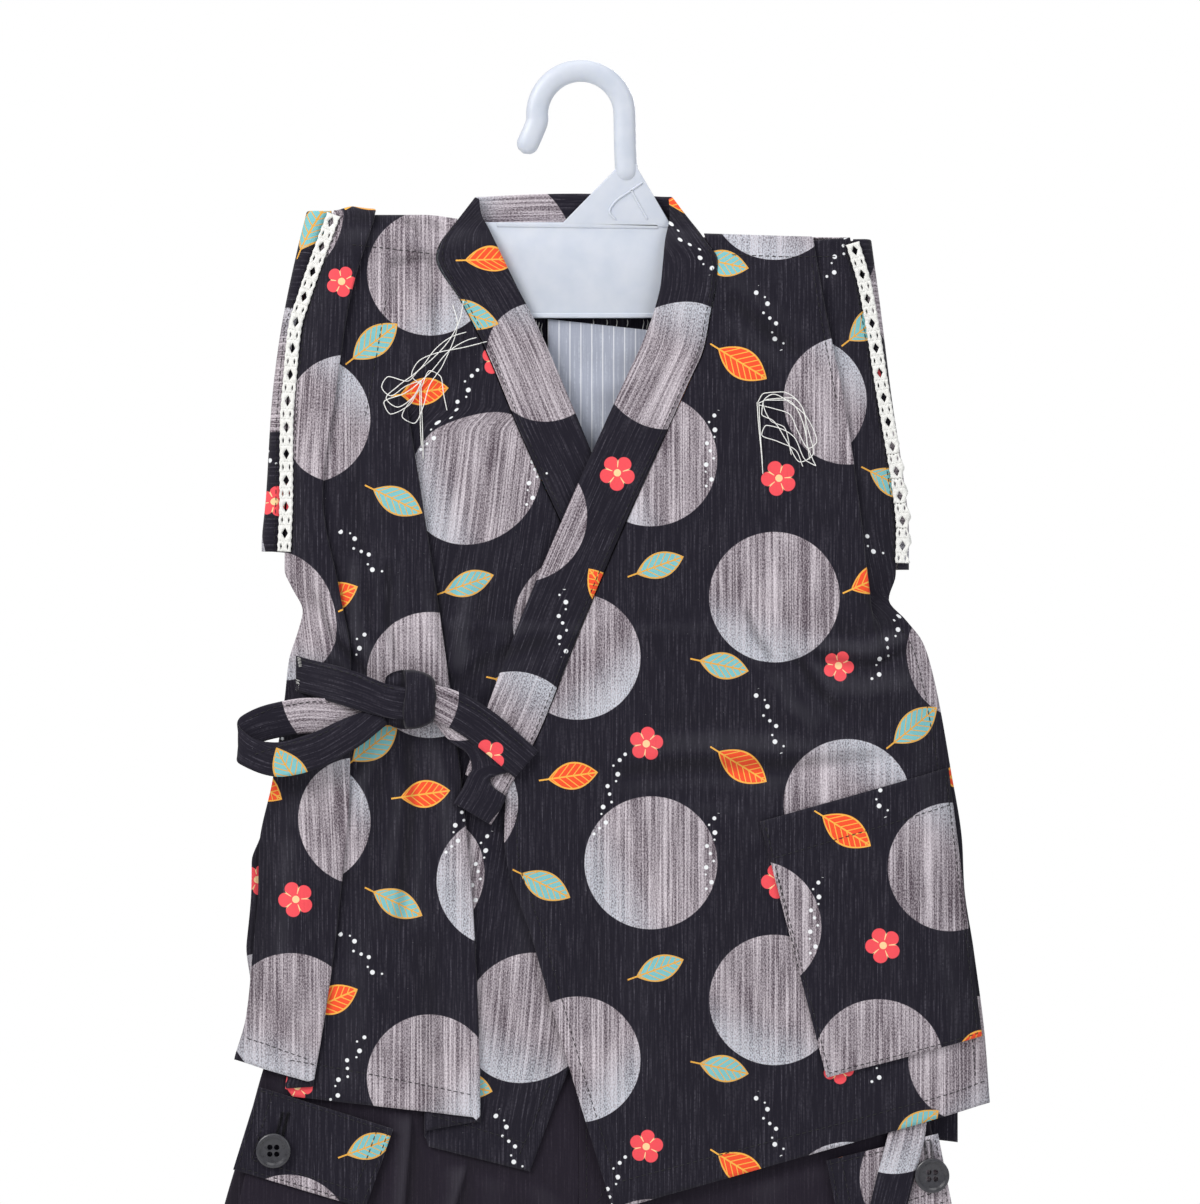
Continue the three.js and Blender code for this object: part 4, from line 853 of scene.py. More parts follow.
def leg_grid(column: str, out: int) -> Array:
    """One leg of the shorts, wrapped from its front seam round the side to the back seam.

    Args:
        column: The side's column in the chart.
        out: -1 for the right leg and 1 for the left.
    Returns:
        Rows of points.
    """
    rows = []
    turn = HALF_TURN
    for z in np.linspace(LEGS.key[-1], LEGS.key[0], 165):
        split = float(LEGS.at("split", z))
        parted = float(ease((split - 0.4) / 5))
        side = float(LEGS.at(column, z)) - out * SHORTS_DEPTH
        inner = 0.5 + out * (SEAM / 2 + split - LEG_LAP * (1 - parted))
        across = leg_columns(inner, side, z, out)
        near = ease(1 - abs(across - inner) / LEG_ROLL)
        edge = mix(SHORTS_DEPTH + out * LEG_LIFT * near, SHORTS_DEPTH * np.sqrt(1 - 0.99 * near**2), parted)
        x = np.concatenate([across, side + out * SHORTS_DEPTH * np.sin(turn), across[::-1]])
        y = np.concatenate([-edge, -np.cos(turn) * SHORTS_DEPTH, edge[::-1]])
        rows.append(np.stack([x, y, np.full(len(x), z)], -1))
    return np.array(rows)


WAISTBAND = {"half": 100.65, "centre": 1.0, "top": -318, "bottom": -343, "gathers": 11, "gather": 0.3}


def waistband_grid() -> Array:
    """Rows of points of the gathered waistband, a flat ring that closes at the centre back."""
    band, depth = WAISTBAND, SHORTS_DEPTH
    half = band["half"]

    def ripple(x: Array) -> Array:
        """Its gathers' depth."""
        return depth + band["gather"] * np.sin(x / half * math.pi * band["gathers"]) ** 2 - band["gather"]

    front, back = np.linspace(half, -half, 170), np.linspace(SEAM, half, 86)
    turn = np.linspace(math.pi / 2, -math.pi / 2, 9)[1:-1]
    out, up = depth * np.cos(turn), depth * np.sin(turn)
    x = np.concatenate([back, half + out, front, -half - out, -back[::-1]])
    y = np.concatenate([ripple(back), up, -ripple(front), -up, ripple(back)])
    levels = np.linspace(band["top"], band["bottom"], 10)
    return np.array([np.stack([band["centre"] + x, y, np.full(len(x), z)], -1) for z in levels])


def srgb(code: str) -> tuple[float, float, float, float]:
    """A colour for a shader.

    Args:
        code: Six hex digits, as on a screen.
    Returns:
        Linear red, green, blue and alpha.
    """
    parts = [int(code[i : i + 2], 16) / 255 for i in (0, 2, 4)]
    return (*(p / 12.92 if p <= 0.04045 else ((p + 0.055) / 1.055) ** 2.4 for p in parts), 1.0)


MIXED = {"data_type": "RGBA", "out": 2}  # a mix of colours, whose inputs are numbers 6 and 7


class Shader:
    """A node tree that is written one node at a time."""

    def __init__(self, tree: bpy.types.NodeTree) -> None:
        """Keeps the tree to write in."""
        self.tree = tree

    def node(
        self, kind: str, *values, out: int | str | None = 0, named: dict | None = None, **settings
    ) -> Socket:
        """Adds a node.

        Args:
            kind: The node's type without its ShaderNode prefix, and after a colon its operation.
            values: A number, colour or socket for each input in turn, or None.
            out: The output to return, or None for all of them.
            named: Values for inputs by name or number.
            settings: The node's own properties.
        Returns:
            The output socket, or all of them.
        """
        kind, _, operation = kind.partition(":")
        made = self.tree.nodes.new("ShaderNode" + kind)
        if operation:
            made.operation = operation
        for key, value in settings.items():
            setattr(made, key, value)
        self.fill(made, {**dict(enumerate(values)), **(named or {})})
        return made.outputs if out is None else made.outputs[out]

    def fill(self, node: bpy.types.Node, inputs: dict) -> None:
        """Sets a node's inputs.

        Args:
            node: The node.
            inputs: A number, a colour or the socket to link from, by the input's name or number.
        """
        for key, value in inputs.items():
            if isinstance(value, Socket):
                self.tree.links.new(value, node.inputs[key])
            elif value is not None:
                node.inputs[key].default_value = value


class Motif(Enum):
    """What the print is drawn with."""

    DISC = "disc"
    LEAF = "leaf"
    BLOSSOM = "blossom"
    TRAIL = "trail"


class Ink(Enum):
    """The print's colours."""

    GREY = "4b3f49"
    VERMILION = "f0502a"
    TEAL = "79bcc2"
    CORAL = "ee4f58"
    WHITE = "e8eaee"


REPEAT = (172.0, 176.0)
CHART = {  # each motif of the repeat: its centre, its angle in degrees, and its half sizes, in mm
    (Motif.DISC, Ink.GREY): (
        (34, 138, -20, 28.5), (120, 112, 40, 27.5), (66, 48, 150, 28), (152, 22, -60, 29),
    ),
    (Motif.LEAF, Ink.VERMILION): ((78, 146, 24, 11.5, 6.2), (20, 64, -32, 12.5, 6.6), (118, 60, 8, 11, 6)),
    (Motif.LEAF, Ink.TEAL): (
        (96, 82, 38, 12.5, 6.4), (12, 108, -12, 11, 5.8), (106, 12, -26, 12, 6), (156, 152, 20, 11, 5.6),
    ),
    (Motif.BLOSSOM, Ink.CORAL): ((150, 74, 10, 7.4), (36, 14, 40, 7.8), (62, 108, -8, 6.8)),
    (Motif.TRAIL, Ink.WHITE): (
        (84, 116, 62, 17), (32, 84, -70, 15), (134, 52, 74, 20), (90, 166, -52, 13), (6, 26, 84, 18),
    ),
}


def draw_motif(n: Callable, motif: Motif, place: Sequence[Socket], size: Sequence[Socket]) -> list[Socket]:
    """The nodes that draw a motif about its centre.

    Args:
        n: The function that adds a node.
        motif: Which one.
        place: How far along and across it, in mm.
        size: Its half length or radius, and its half width.
    Returns:
        Two sockets: where it is filled, and where it is lined.
    """
    (x, y), (length, width) = place, size
    flat = n("CombineXYZ", x, y)
    away = n("VectorMath:LENGTH", flat, out="Value")
    spread = n("Math:ABSOLUTE", y)
    line = n("Value")
    if motif is Motif.DISC:
        depth = n("Math:SUBTRACT", length, away)
        lean = n("Math:DIVIDE", n("Math:MULTIPLY", y, -1.0), length)
        line = n("MapRange", lean, 0.15, 1.05, interpolation_type="SMOOTHSTEP")
    elif motif is Motif.LEAF:
        share = n("Math:POWER", n("Math:DIVIDE", x, length), 2.0)
        half = n("Math:MULTIPLY", width, n("Math:SUBTRACT", 1.0, share))
        depth = n("Math:SUBTRACT", half, spread)
        slant = n("Math:SUBTRACT", x, spread)
        vein = n("Math:PINGPONG", slant, 1.6)
        stem = n("Math:SUBTRACT", n("Math:MULTIPLY", x, -1.0), length)
        stem = n("Math:MULTIPLY", n("Math:LESS_THAN", stem, 4.0), n("Math:GREATER_THAN", stem, -0.6))
        thin = n("Math:LESS_THAN", spread, 0.34)
        stem = n("Math:MULTIPLY", stem, thin)
        depth = n("Math:MAXIMUM", depth, n("Math:SUBTRACT", stem, 0.5))
        rim = n("Math:LESS_THAN", depth, 0.7)
        line = n("Math:MAXIMUM", n("Math:LESS_THAN", vein, 0.3), n("Math:MAXIMUM", rim, thin))
    elif motif is Motif.BLOSSOM:
        angle = n("Math:MULTIPLY", n("Math:ARCTAN2", y, x), 2.5)
        lobe = n("Math:ABSOLUTE", n("Math:COSINE", angle))
        edge = n("Math:MULTIPLY_ADD", n("Math:POWER", lobe, 0.5), 0.42, 0.58)
        depth = n("Math:SUBTRACT", n("Math:MULTIPLY", edge, length), away)
        eye = n("Math:LESS_THAN", away, 1.6)
        gap = n("Math:MULTIPLY", n("Math:LESS_THAN", lobe, 0.16), n("Math:GREATER_THAN", away, 2.4))
        line = n("Math:MAXIMUM", eye, gap)
    else:
        cell = n("Math:ROUND", n("Math:DIVIDE", x, 3.1))
        beside = n("Math:SUBTRACT", x, n("Math:MULTIPLY", cell, 3.1))
        sway = n("Math:SINE", n("Math:MULTIPLY", cell, 1.9))
        off = n("Math:SUBTRACT", y, n("Math:MULTIPLY", sway, 1.9))
        away = n("VectorMath:LENGTH", n("CombineXYZ", beside, off), out="Value")
        size = n("Math:MULTIPLY_ADD", n("Math:SINE", n("Math:MULTIPLY", cell, 2.6)), 0.3, 0.72)
        ends = n("Math:LESS_THAN", n("Math:ABSOLUTE", x), length)
        depth = n("Math:ADD", n("Math:SUBTRACT", size, away), n("Math:SUBTRACT", ends, 1.0))
    filled = n("MapRange", depth, -0.14, 0.14, interpolation_type="SMOOTHSTEP")
    return [filled, line]


def motif_group(motif: Motif) -> bpy.types.NodeTree:
    """A node group that draws one motif anywhere in the repeat.

    Args:
        motif: Which one.
    Returns:
        The group.
    """
    tree = bpy.data.node_groups.new(f"print_{motif.value}", "ShaderNodeTree")
    for name in ("Cloth", "Centre", "Angle", "Length", "Width"):
        kind = "NodeSocketVector" if name.startswith("C") else "NodeSocketFloat"
        tree.interface.new_socket(name, in_out="INPUT", socket_type=kind)
    for name in ("Filled", "Lined"):
        tree.interface.new_socket(name, in_out="OUTPUT", socket_type="NodeSocketFloat")
    n = Shader(tree).node
    given = tree.nodes.new("NodeGroupInput").outputs
    half = (REPEAT[0] / 2, REPEAT[1] / 2, 1.0)
    offset = n("VectorMath:SUBTRACT", given["Cloth"], given["Centre"])
    near = n("VectorMath:WRAP", offset, half, tuple(-h for h in half))
    turned = n("VectorRotate", rotation_type="Z_AXIS", named={"Vector": near, "Angle": given["Angle"]})
    place = [n("SeparateXYZ", turned, out=axis) for axis in (0, 1)]
    results = draw_motif(n, motif, place, (given["Length"], given["Width"]))
    leaving = tree.nodes.new("NodeGroupOutput").inputs
    for socket, result in zip(leaving, results):
        tree.links.new(result, socket)
    return tree


@dataclass(frozen=True)
class Cotton:
    """A slubbed cotton cloth, plain, striped or printed."""

    name: str
    ground: str
    slub: str
    rough: float
    sheen: float
    bump: float
    printed: bool = False
    stripe: str = ""
    pitch: float = 1.9  # mm from one line of thick yarn to the next

    def make(self) -> bpy.types.Material:
        """Makes the material."""
        material = bpy.data.materials.new(self.name)
        material.use_nodes = True
        shader = Shader(material.node_tree)
        n = shader.node
        cloth = n("VectorMath:MULTIPLY", n("UVMap", uv_map="cloth"), (1000.0, 1000.0, 1000.0))
        threads = n("VectorMath:MULTIPLY", cloth, (1.15, 0.045, 1.0))
        slub = n("TexNoise", threads, None, 1.0, 3.0, 0.6)
        weft = n("VectorMath:MULTIPLY", cloth, (0.1, 1.7, 1.0))
        weft = n("TexNoise", weft, None, 1.0, 2.0)
        fine = n("TexNoise", cloth, None, 0.9, 3.0)
        across = n("SeparateXYZ", cloth)
        beside = n("Math:MULTIPLY_ADD", slub, 1.5, across)
        lines = n("MapRange", n("Math:PINGPONG", beside, self.pitch / 2), 0.08, 0.24, 1.0, 0.0)
        dashes = n("VectorMath:MULTIPLY", cloth, (0.5, 0.07, 1.0))
        dashes = n("MapRange", n("TexNoise", dashes, None, 1.0, 3.0), 0.44, 0.62, 0.0, 1.0)
        broken = n("Math:MULTIPLY", lines, dashes)
        broken = n("Math:MAXIMUM", n("MapRange", slub, 0.5, 0.75, 0.0, 0.7), broken)
        broken = n("Math:MULTIPLY", broken, n("MapRange", fine, 0.35, 0.6, 0.2, 1.0))
        colour = n("Mix", broken, named={6: srgb(self.ground), 7: srgb(self.slub)}, **MIXED)
        if self.stripe:
            near = n("Math:PINGPONG", across, 2.4)
            line = n("MapRange", near, 0.12, 0.34, 0.8, 0.0)
            colour = n("Mix", line, named={6: colour, 7: srgb(self.stripe)}, **MIXED)
        if self.printed:
            colour = self._print(n, cloth, broken, colour)
        # painted light: the crease attribute darkens the colour in troughs as painted shade and mixes a pale
        # grey into ridges as a painted highlight
        crease = n("Attribute", attribute_name="crease", out="Fac")
        colour = n("VectorMath:SCALE", colour, named={"Scale": n("MapRange", crease, -0.9, 0.0, 0.66, 1.0)})
        painted_ridge_highlight = n("MapRange", crease, 0.05, 1.0, 0.0, 0.045)
        colour = n("Mix", painted_ridge_highlight, named={6: colour, 7: srgb("a8a8b2")}, **MIXED)
        nap = n("Math:ADD", n("Math:MULTIPLY", slub, 0.62), n("Math:MULTIPLY", weft, 0.3))
        soft = n("TexNoise", cloth, None, 0.075, 2.0)
        nap = n("Math:MULTIPLY_ADD", soft, 2.6, nap)
        bump = n("Bump", named={"Strength": self.bump, "Distance": 0.0006, "Height": nap})
        shader.fill(material.node_tree.nodes["Principled BSDF"], {
            "Base Color": colour, "Normal": bump, "Roughness": self.rough, "Specular IOR Level": 0.25,
            "Sheen Weight": self.sheen, "Sheen Roughness": 0.5,
        })
        return material

    @staticmethod
    def _print(n: Callable, cloth: Socket, lines: Socket, ground: Socket) -> Socket:
        """The print's colours over the ground.

        Args:
            n: The function that adds a node.
            cloth: The cloth's own place, in mm.
            lines: Where a line of thick yarn shows.
            ground: The ground's colour.
        Returns:
            The colour socket.
        """
        groups = {motif: motif_group(motif) for motif in Motif}
        filled: dict[Ink, Socket] = {}
        lined: dict[Ink, Socket] = {}
        spots = [(motif, ink, spot) for (motif, ink), rows in CHART.items() for spot in rows]
        for motif, ink, (across, up, angle, length, *width) in spots:
            given = {"Cloth": cloth, "Centre": (across, up, 0.0), "Angle": math.radians(-angle)}
            given |= {"Length": length, "Width": width[0] if width else 0.0}
            area = n("Group", node_tree=groups[motif], named=given, out=None)
            inside, marked = area["Filled"], n("Math:MULTIPLY", area["Filled"], area["Lined"])
            for found, store in ((inside, filled), (marked, lined)):
                store[ink] = n("Math:MAXIMUM", store[ink], found) if ink in store else found
        bands = n("VectorMath:MULTIPLY", cloth, (0.85, 0.008, 1.0))
        bands = n("TexNoise", bands, None, 1.0, 3.0, 0.75)
        patches = n("TexNoise", n("VectorMath:MULTIPLY", cloth, (0.1, 0.03, 1.0)), None, 1.0)
        speck = n("VectorMath:MULTIPLY", cloth, (2.3, 1.1, 1.0))
        speck = n("TexNoise", speck, None, 1.0, 2.0)
        share = n("MapRange", speck, 0.36, 0.64, -0.14, 0.36)
        share = n("Math:ADD", n("MapRange", bands, 0.44, 0.62, 0.0, 0.55), share)
        share = n("Math:ADD", n("MapRange", patches, 0.35, 0.65, -0.1, 0.2), share)
        share = n("Math:MULTIPLY_ADD", lines, 0.3, share)
        grey = n("Mix", share, named={6: srgb(Ink.GREY.value), 7: srgb("d6cdd5")}, **MIXED)
        pale = n("Math:MULTIPLY", lined[Ink.GREY], n("MapRange", speck, 0.4, 0.6, 0.25, 1.0))
        grey = n("Mix", pale, named={6: grey, 7: srgb("c6cbd6")}, **MIXED)
        colour = n("Mix", filled[Ink.GREY], named={6: ground, 7: grey}, **MIXED)
        for ink, line in ((Ink.TEAL, "e0a544"), (Ink.VERMILION, "eeb04a"), (Ink.CORAL, "f7cf9a")):
            colour = n("Mix", filled[ink], named={6: colour, 7: srgb(ink.value)}, **MIXED)
            colour = n("Mix", lined[ink], named={6: colour, 7: srgb(line)}, **MIXED)
        return n("Mix", filled[Ink.WHITE], named={6: colour, 7: srgb(Ink.WHITE.value)}, **MIXED)


@dataclass(frozen=True)
class Moulded:
    """A moulded plastic, resin or spun thread of one colour, a little uneven."""

    name: str
    colour: str
    shade: str
    rough: float
    grain: float  # mm
    bump: float
    glow: float = 0.0  # light carried inside it
    sheen: float = 0.0

    def make(self) -> bpy.types.Material:
        """Makes the material."""
        material = bpy.data.materials.new(self.name)
        material.use_nodes = True
        shader = Shader(material.node_tree)
        n = shader.node
        place = n("VectorMath:MULTIPLY", n("TexCoord", out="Object"), (1 / (self.grain * MM),) * 3)
        grain = n("TexNoise", place, None, 1.0, 3.0)
        share = n("MapRange", grain, 0.3, 0.7, 0.0, 1.0)
        colour = n("Mix", share, named={6: srgb(self.colour), 7: srgb(self.shade)}, **MIXED)
        bump = n("Bump", named={"Strength": self.bump, "Distance": 0.0003, "Height": grain})
        rough = n("MapRange", grain, 0.3, 0.7, self.rough - 0.06, self.rough + 0.06)
        shader.fill(material.node_tree.nodes["Principled BSDF"], {
            "Base Color": colour, "Normal": bump, "Roughness": rough, "Sheen Weight": self.sheen,
            "Subsurface Weight": self.glow, "Subsurface Radius": (0.004, 0.004, 0.005),
        })
        return material


class Finish(Enum):
    """The materials, each with a short name."""

    PRINT = "printed_cloth"
    PLAIN = "plain_cloth"
    FACING = "facing_cloth"
    LACE = "lace"
    BUTTON = "button_plastic"
    HANGER = "hanger_plastic"
    BLACK_THREAD = "black_thread"
    WHITE_THREAD = "white_thread"
    FLOOR = "floor"


FINISHES = {
    # slubbed black cotton with the print; its streaks give the ground its dry, lined look
    Finish.PRINT: Cotton("printed_slub_cotton", "100c1c", "45424d", 0.84, 0.12, 0.5, printed=True),
    # plain black cotton of the shorts, a little smoother and flatter
    Finish.PLAIN: Cotton("plain_black_cotton", "160e1e", "2c2632", 0.82, 0.12, 0.35),
    # thin striped lawn; pale, with stripes lighter than its ground
    Finish.FACING: Cotton("striped_lawn", "a0a5b5", "c2c7d3", 0.85, 0.1, 0.5, stripe="e6e8ee"),
    # bleached cotton lace, chalky with a soft grain
    Finish.LACE: Moulded("bleached_cotton_lace", "eeeeec", "d8d8d5", 0.88, 0.8, 0.5, sheen=0.2),
    # polyester resin buttons, almost black with a dull gloss
    Finish.BUTTON: Moulded("black_resin", "313136", "3a3a40", 0.3, 2.0, 0.06),
    # milky polypropylene that lets light in, so its edges glow
    Finish.HANGER: Moulded("milky_polypropylene", "ccd1dc", "c2c9d6", 0.42, 9.0, 0.05, glow=0.35),
    # spun polyester sewing thread
    Finish.BLACK_THREAD: Moulded("black_sewing_thread", "0f0f11", "1c1c1f", 0.7, 0.4, 0.3),
    # soft tacking cotton, white
    Finish.WHITE_THREAD: Moulded("white_tacking_cotton", "f6f6f4", "e4e4e2", 0.85, 0.4, 0.3),
    # matt studio paper
    Finish.FLOOR: Moulded("studio_paper", "f2f2f0", "eeeeec", 0.9, 30.0, 0.1),
}
MADE: dict[Finish, bpy.types.Material] = {}


def material_of(finish: Finish) -> bpy.types.Material:
    """The material of a finish, made once."""
    if finish not in MADE:
        MADE[finish] = FINISHES[finish].make()
    return MADE[finish]


def piece_name(name: str) -> str:
    """A piece's name in the scene, apart from its solid's."""
    return name + ("_moulding" if name == "hanger" else "_cloth")


def new_piece(name: str, verts: Array, faces: Sequence, finish: Finish, stands_for: str = "") -> Piece:
    """Makes a mesh piece that rides on the part.

    Args:
        name: Its name.
        verts: Points in mm.
        faces: Corners of each face.
        finish: Its material.
        stands_for: The solid that it replaces.
    Returns:
        The object.
    """
    mesh = bpy.data.meshes.new(name)
    mesh.from_pydata((np.asarray(verts) * MM).tolist(), [], faces)
    mesh.shade_smooth()
    piece = bpy.data.objects.new(name, mesh)
    bpy.context.scene.collection.objects.link(piece)
    return settle(piece, finish, stands_for)


def settle(piece: Piece, finish: Finish, stands_for: str = "") -> Piece:
    """Gives a piece its material and its body, and hides the solid that it stands for.

    Args:
        piece: The object.
        finish: Its material.
        stands_for: The solid that it replaces.
    Returns:
        The object.
    """
    piece.data.materials.clear()
    piece.data.materials.append(material_of(finish))
    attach(piece, "root")
    if stands_for:
        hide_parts(stands_for)
    log.info("%s: %d faces", piece.name, len(piece.data.polygons))
    return piece


def modify(piece: Piece, name: str, kind: str, applied: bool = True, **settings: object) -> None:
    """Adds a modifier to a piece.

    Args:
        piece: The object.
        name: The modifier's name.
        kind: Its type.
        applied: Whether to apply it now.
        settings: Its own properties.
    """
    added = piece.modifiers.new(name, kind)
    for key, value in settings.items():
        setattr(added, key, value)
    if applied:
        bpy.context.view_layer.objects.active = piece
        bpy.ops.object.modifier_apply(modifier=name)


def carry(piece: Piece, weave: Array, crease: Array) -> None:
    """Gives a piece its place along the cloth, in mm at each face's corner, and the painted shade and
    highlight of its creases.
    """
    piece.data.uv_layers.new(name="cloth").data.foreach_set("uv", (weave * MM).ravel())
    piece.data.attributes.new("crease", "FLOAT", "POINT").data.foreach_set("value", crease.ravel())


def close_up(mesh: bpy.types.Mesh, reach: float) -> None:
    """Joins a mesh's double points, and turns its faces out.

    Args:
        mesh: The mesh.
        reach: How near, in metres, doubles lie.
    """
    shape = bmesh.new()
    shape.from_mesh(mesh)
    bmesh.ops.remove_doubles(shape, verts=shape.verts, dist=reach)
    bmesh.ops.recalc_face_normals(shape, faces=shape.faces)
    shape.to_mesh(mesh)
    shape.free()


@dataclass
class Cloth:
    """A piece of cloth on a grid of points, its middle surface."""

    name: str
    rows: Array
    rests_on: str
    stands_for: str = ""  # its solid, if that has another name
    finish: Finish = Finish.PRINT
    held: str = "hung"
    thick: float = 0.55
    reference: int = 0  # the column whose x is the cloth's own place across
    upright: bool = True  # the warp runs up and down, not along the rows' columns
    shift: Pair = (0.0, 0.0)  # its place in the print
    relief: Surface | None = None
    forward: float = -1.0
    least_filled: float = 0.31  # the least of its rectangle that a cut can fill

    def weave(self) -> Array:
        """The cloth's own coordinates, so that its print runs on into its folds.

        Returns:
            Across and along the warp, in mm.
        """
        across = np.linalg.norm(np.diff(self.rows[:, :, :2] if self.upright else self.rows, axis=1), axis=2)
        across = np.concatenate([np.zeros((len(self.rows), 1)), np.cumsum(across, axis=1)], axis=1)
        if self.upright:
            ref = self.rows[:, self.reference, 0][:, None]
            across = across - across[:, self.reference][:, None]
            if self.rows[0, -1, 0] < self.rows[0, 0, 0]:
                across = -across
            u, v = ref + across, self.rows[..., 2]
        else:
            u, v = across, way_along(self.rows.mean(axis=1))[:, None] + 0 * across
        return np.stack([u + self.shift[0], v + self.shift[1]], -1)

    def build(self) -> Piece:
        """Makes the piece as a thin shell.

        Returns:
            The object.
        """
        rows = self.rows.copy()
        raised = np.zeros(rows.shape[:2])
        if self.relief:
            raised += self.relief(rows[..., 0], rows[..., 2])
        rows[..., 1] += self.forward * raised
        down, across = rows.shape[:2]
        place = np.arange(down * across).reshape(down, across)
        quads = np.stack([place[:-1, :-1], place[1:, :-1], place[1:, 1:], place[:-1, 1:]], -1).reshape(-1, 4)
        solid = self.stands_for or self.name
        piece = new_piece(piece_name(self.name), rows.reshape(-1, 3), quads.tolist(), self.finish, solid)
        carry(piece, self.weave().reshape(-1, 2)[quads.reshape(-1)], self.crease_shade_and_highlight(raised))
        modify(piece, "thickness", "SOLIDIFY", applied=False, thickness=self.thick * MM, offset=0.0)
        self.declare()
        return piece

    @staticmethod
    def crease_shade_and_highlight(raised: Array) -> Array:
        """Where the cloth is sharply creased, for the painted highlight on its ridges and the painted shade
        in its troughs.

        Args:
            raised: How far each point stands out, in mm.
        Returns:
            From -1 in a trough to 1 on a ridge.
        """
        even = Cloth.evened(raised, 9)
        return Cloth.evened(np.clip((raised - even) / 0.45, -1, 1), 1)

    @staticmethod
    def evened(values: Array, times: int) -> Array:
        """A grid of values averaged with their neighbours.

        Args:
            values: The grid.
            times: How often.
        Returns:
            The averages.
        """
        for _ in range(times):
            wide = np.pad(values, ((1, 1), (0, 0)), "edge")
            values = (wide[:-2] + values + wide[2:]) / 3
            wide = np.pad(values, ((0, 0), (1, 1)), "edge")
            values = (wide[:, :-2] + values + wide[:, 2:]) / 3
        return values

    def declare(self) -> None:
        """Works out the width, length and area of the piece's cloth, and does nothing more with them."""
        rows = self.rows
        width = np.linalg.norm(np.diff(rows, axis=1), axis=2).sum(axis=1).max()
        length = np.linalg.norm(np.diff(rows, axis=0), axis=2).sum(axis=0).max()
        a, b = rows[1:, 1:] - rows[:-1, :-1], rows[1:, :-1] - rows[:-1, 1:]
        area = np.linalg.norm(np.cross(a, b), axis=2).sum() / 2
        area = min(max(area, self.least_filled * width * length), width * length)


@dataclass
class WrapTop:
    """The top: its fronts, back, neckband, facing, sleeves and patch pocket."""

    rows: int = 205
    right_length: float = 372.0
    left_length: float = 380.5
    sleeve_heights: tuple[tuple[float, ...], ...] = ((-57.6, -206, -66, -214), (-70, -214, -78, -222))

    def build(self) -> dict[str, Piece]:
        """Makes the pieces, and returns each by its name."""
        right = np.array([right_row(drop) for drop in drops(self.right_length, self.rows)])
        left = np.array([left_row(drop) for drop in drops(self.left_length, self.rows)])
        pocket = patch_grid(POCKET, 60, 70, pocket_depth)
        right_sleeve = sleeve_grid(RIGHT_FOLD, RIGHT_SIDE, self.sleeve_heights[0], -1)
        left_sleeve = sleeve_grid(LEFT_FOLD, LEFT_SIDE, self.sleeve_heights[1], 1)
        front = {"relief": front_relief}
        behind = {"relief": back_relief, "forward": 1.0}
        band = {"upright": False, "thick": 1.2}
        sleeve = {"held": "folded", "upright": False, "relief": self._behind, "forward": 1.0}
        under, over = front_band(UNDER_BAND, 0), front_band(OVER_BAND, OVER)
        pieces = (
            Cloth("front_right", right, "back", reference=55, shift=(14, 20), **front),
            Cloth("front_left", left, "front_right", reference=30, shift=(-50.6, 12), **front),
            Cloth("back", back_panel(), "hanger", "back_body", reference=40, shift=(32, 106), **behind),
            Cloth("neckband_right", under, "front_right", shift=(96, 30), **band, **front),
            Cloth("neckband_left", over, "front_left", shift=(24, 62), **band, **front),
            Cloth("neckband_back", back_band().transpose(1, 0, 2), "hanger", shift=(12, 120), **band),
            Cloth("neck_facing", neck_facing(), "back", finish=Finish.FACING, reference=20, thick=0.4),
            Cloth("sleeve_right", right_sleeve, "back", shift=(40, 104), **sleeve),
            Cloth("sleeve_left", left_sleeve, "back", shift=(120, 20), **sleeve),
            Cloth("patch_pocket", pocket, "front_left", shift=(-96, 40), thick=0.7, **front),
        )
        return {cloth.name: cloth.build() for cloth in pieces}

    @staticmethod
    def _behind(x: Array, z: Array) -> Array:
        """The relief of what lies behind the body, none at the sleeves' folds."""
        return back_relief(x, z) * ease((124 - abs(x)) / 20)


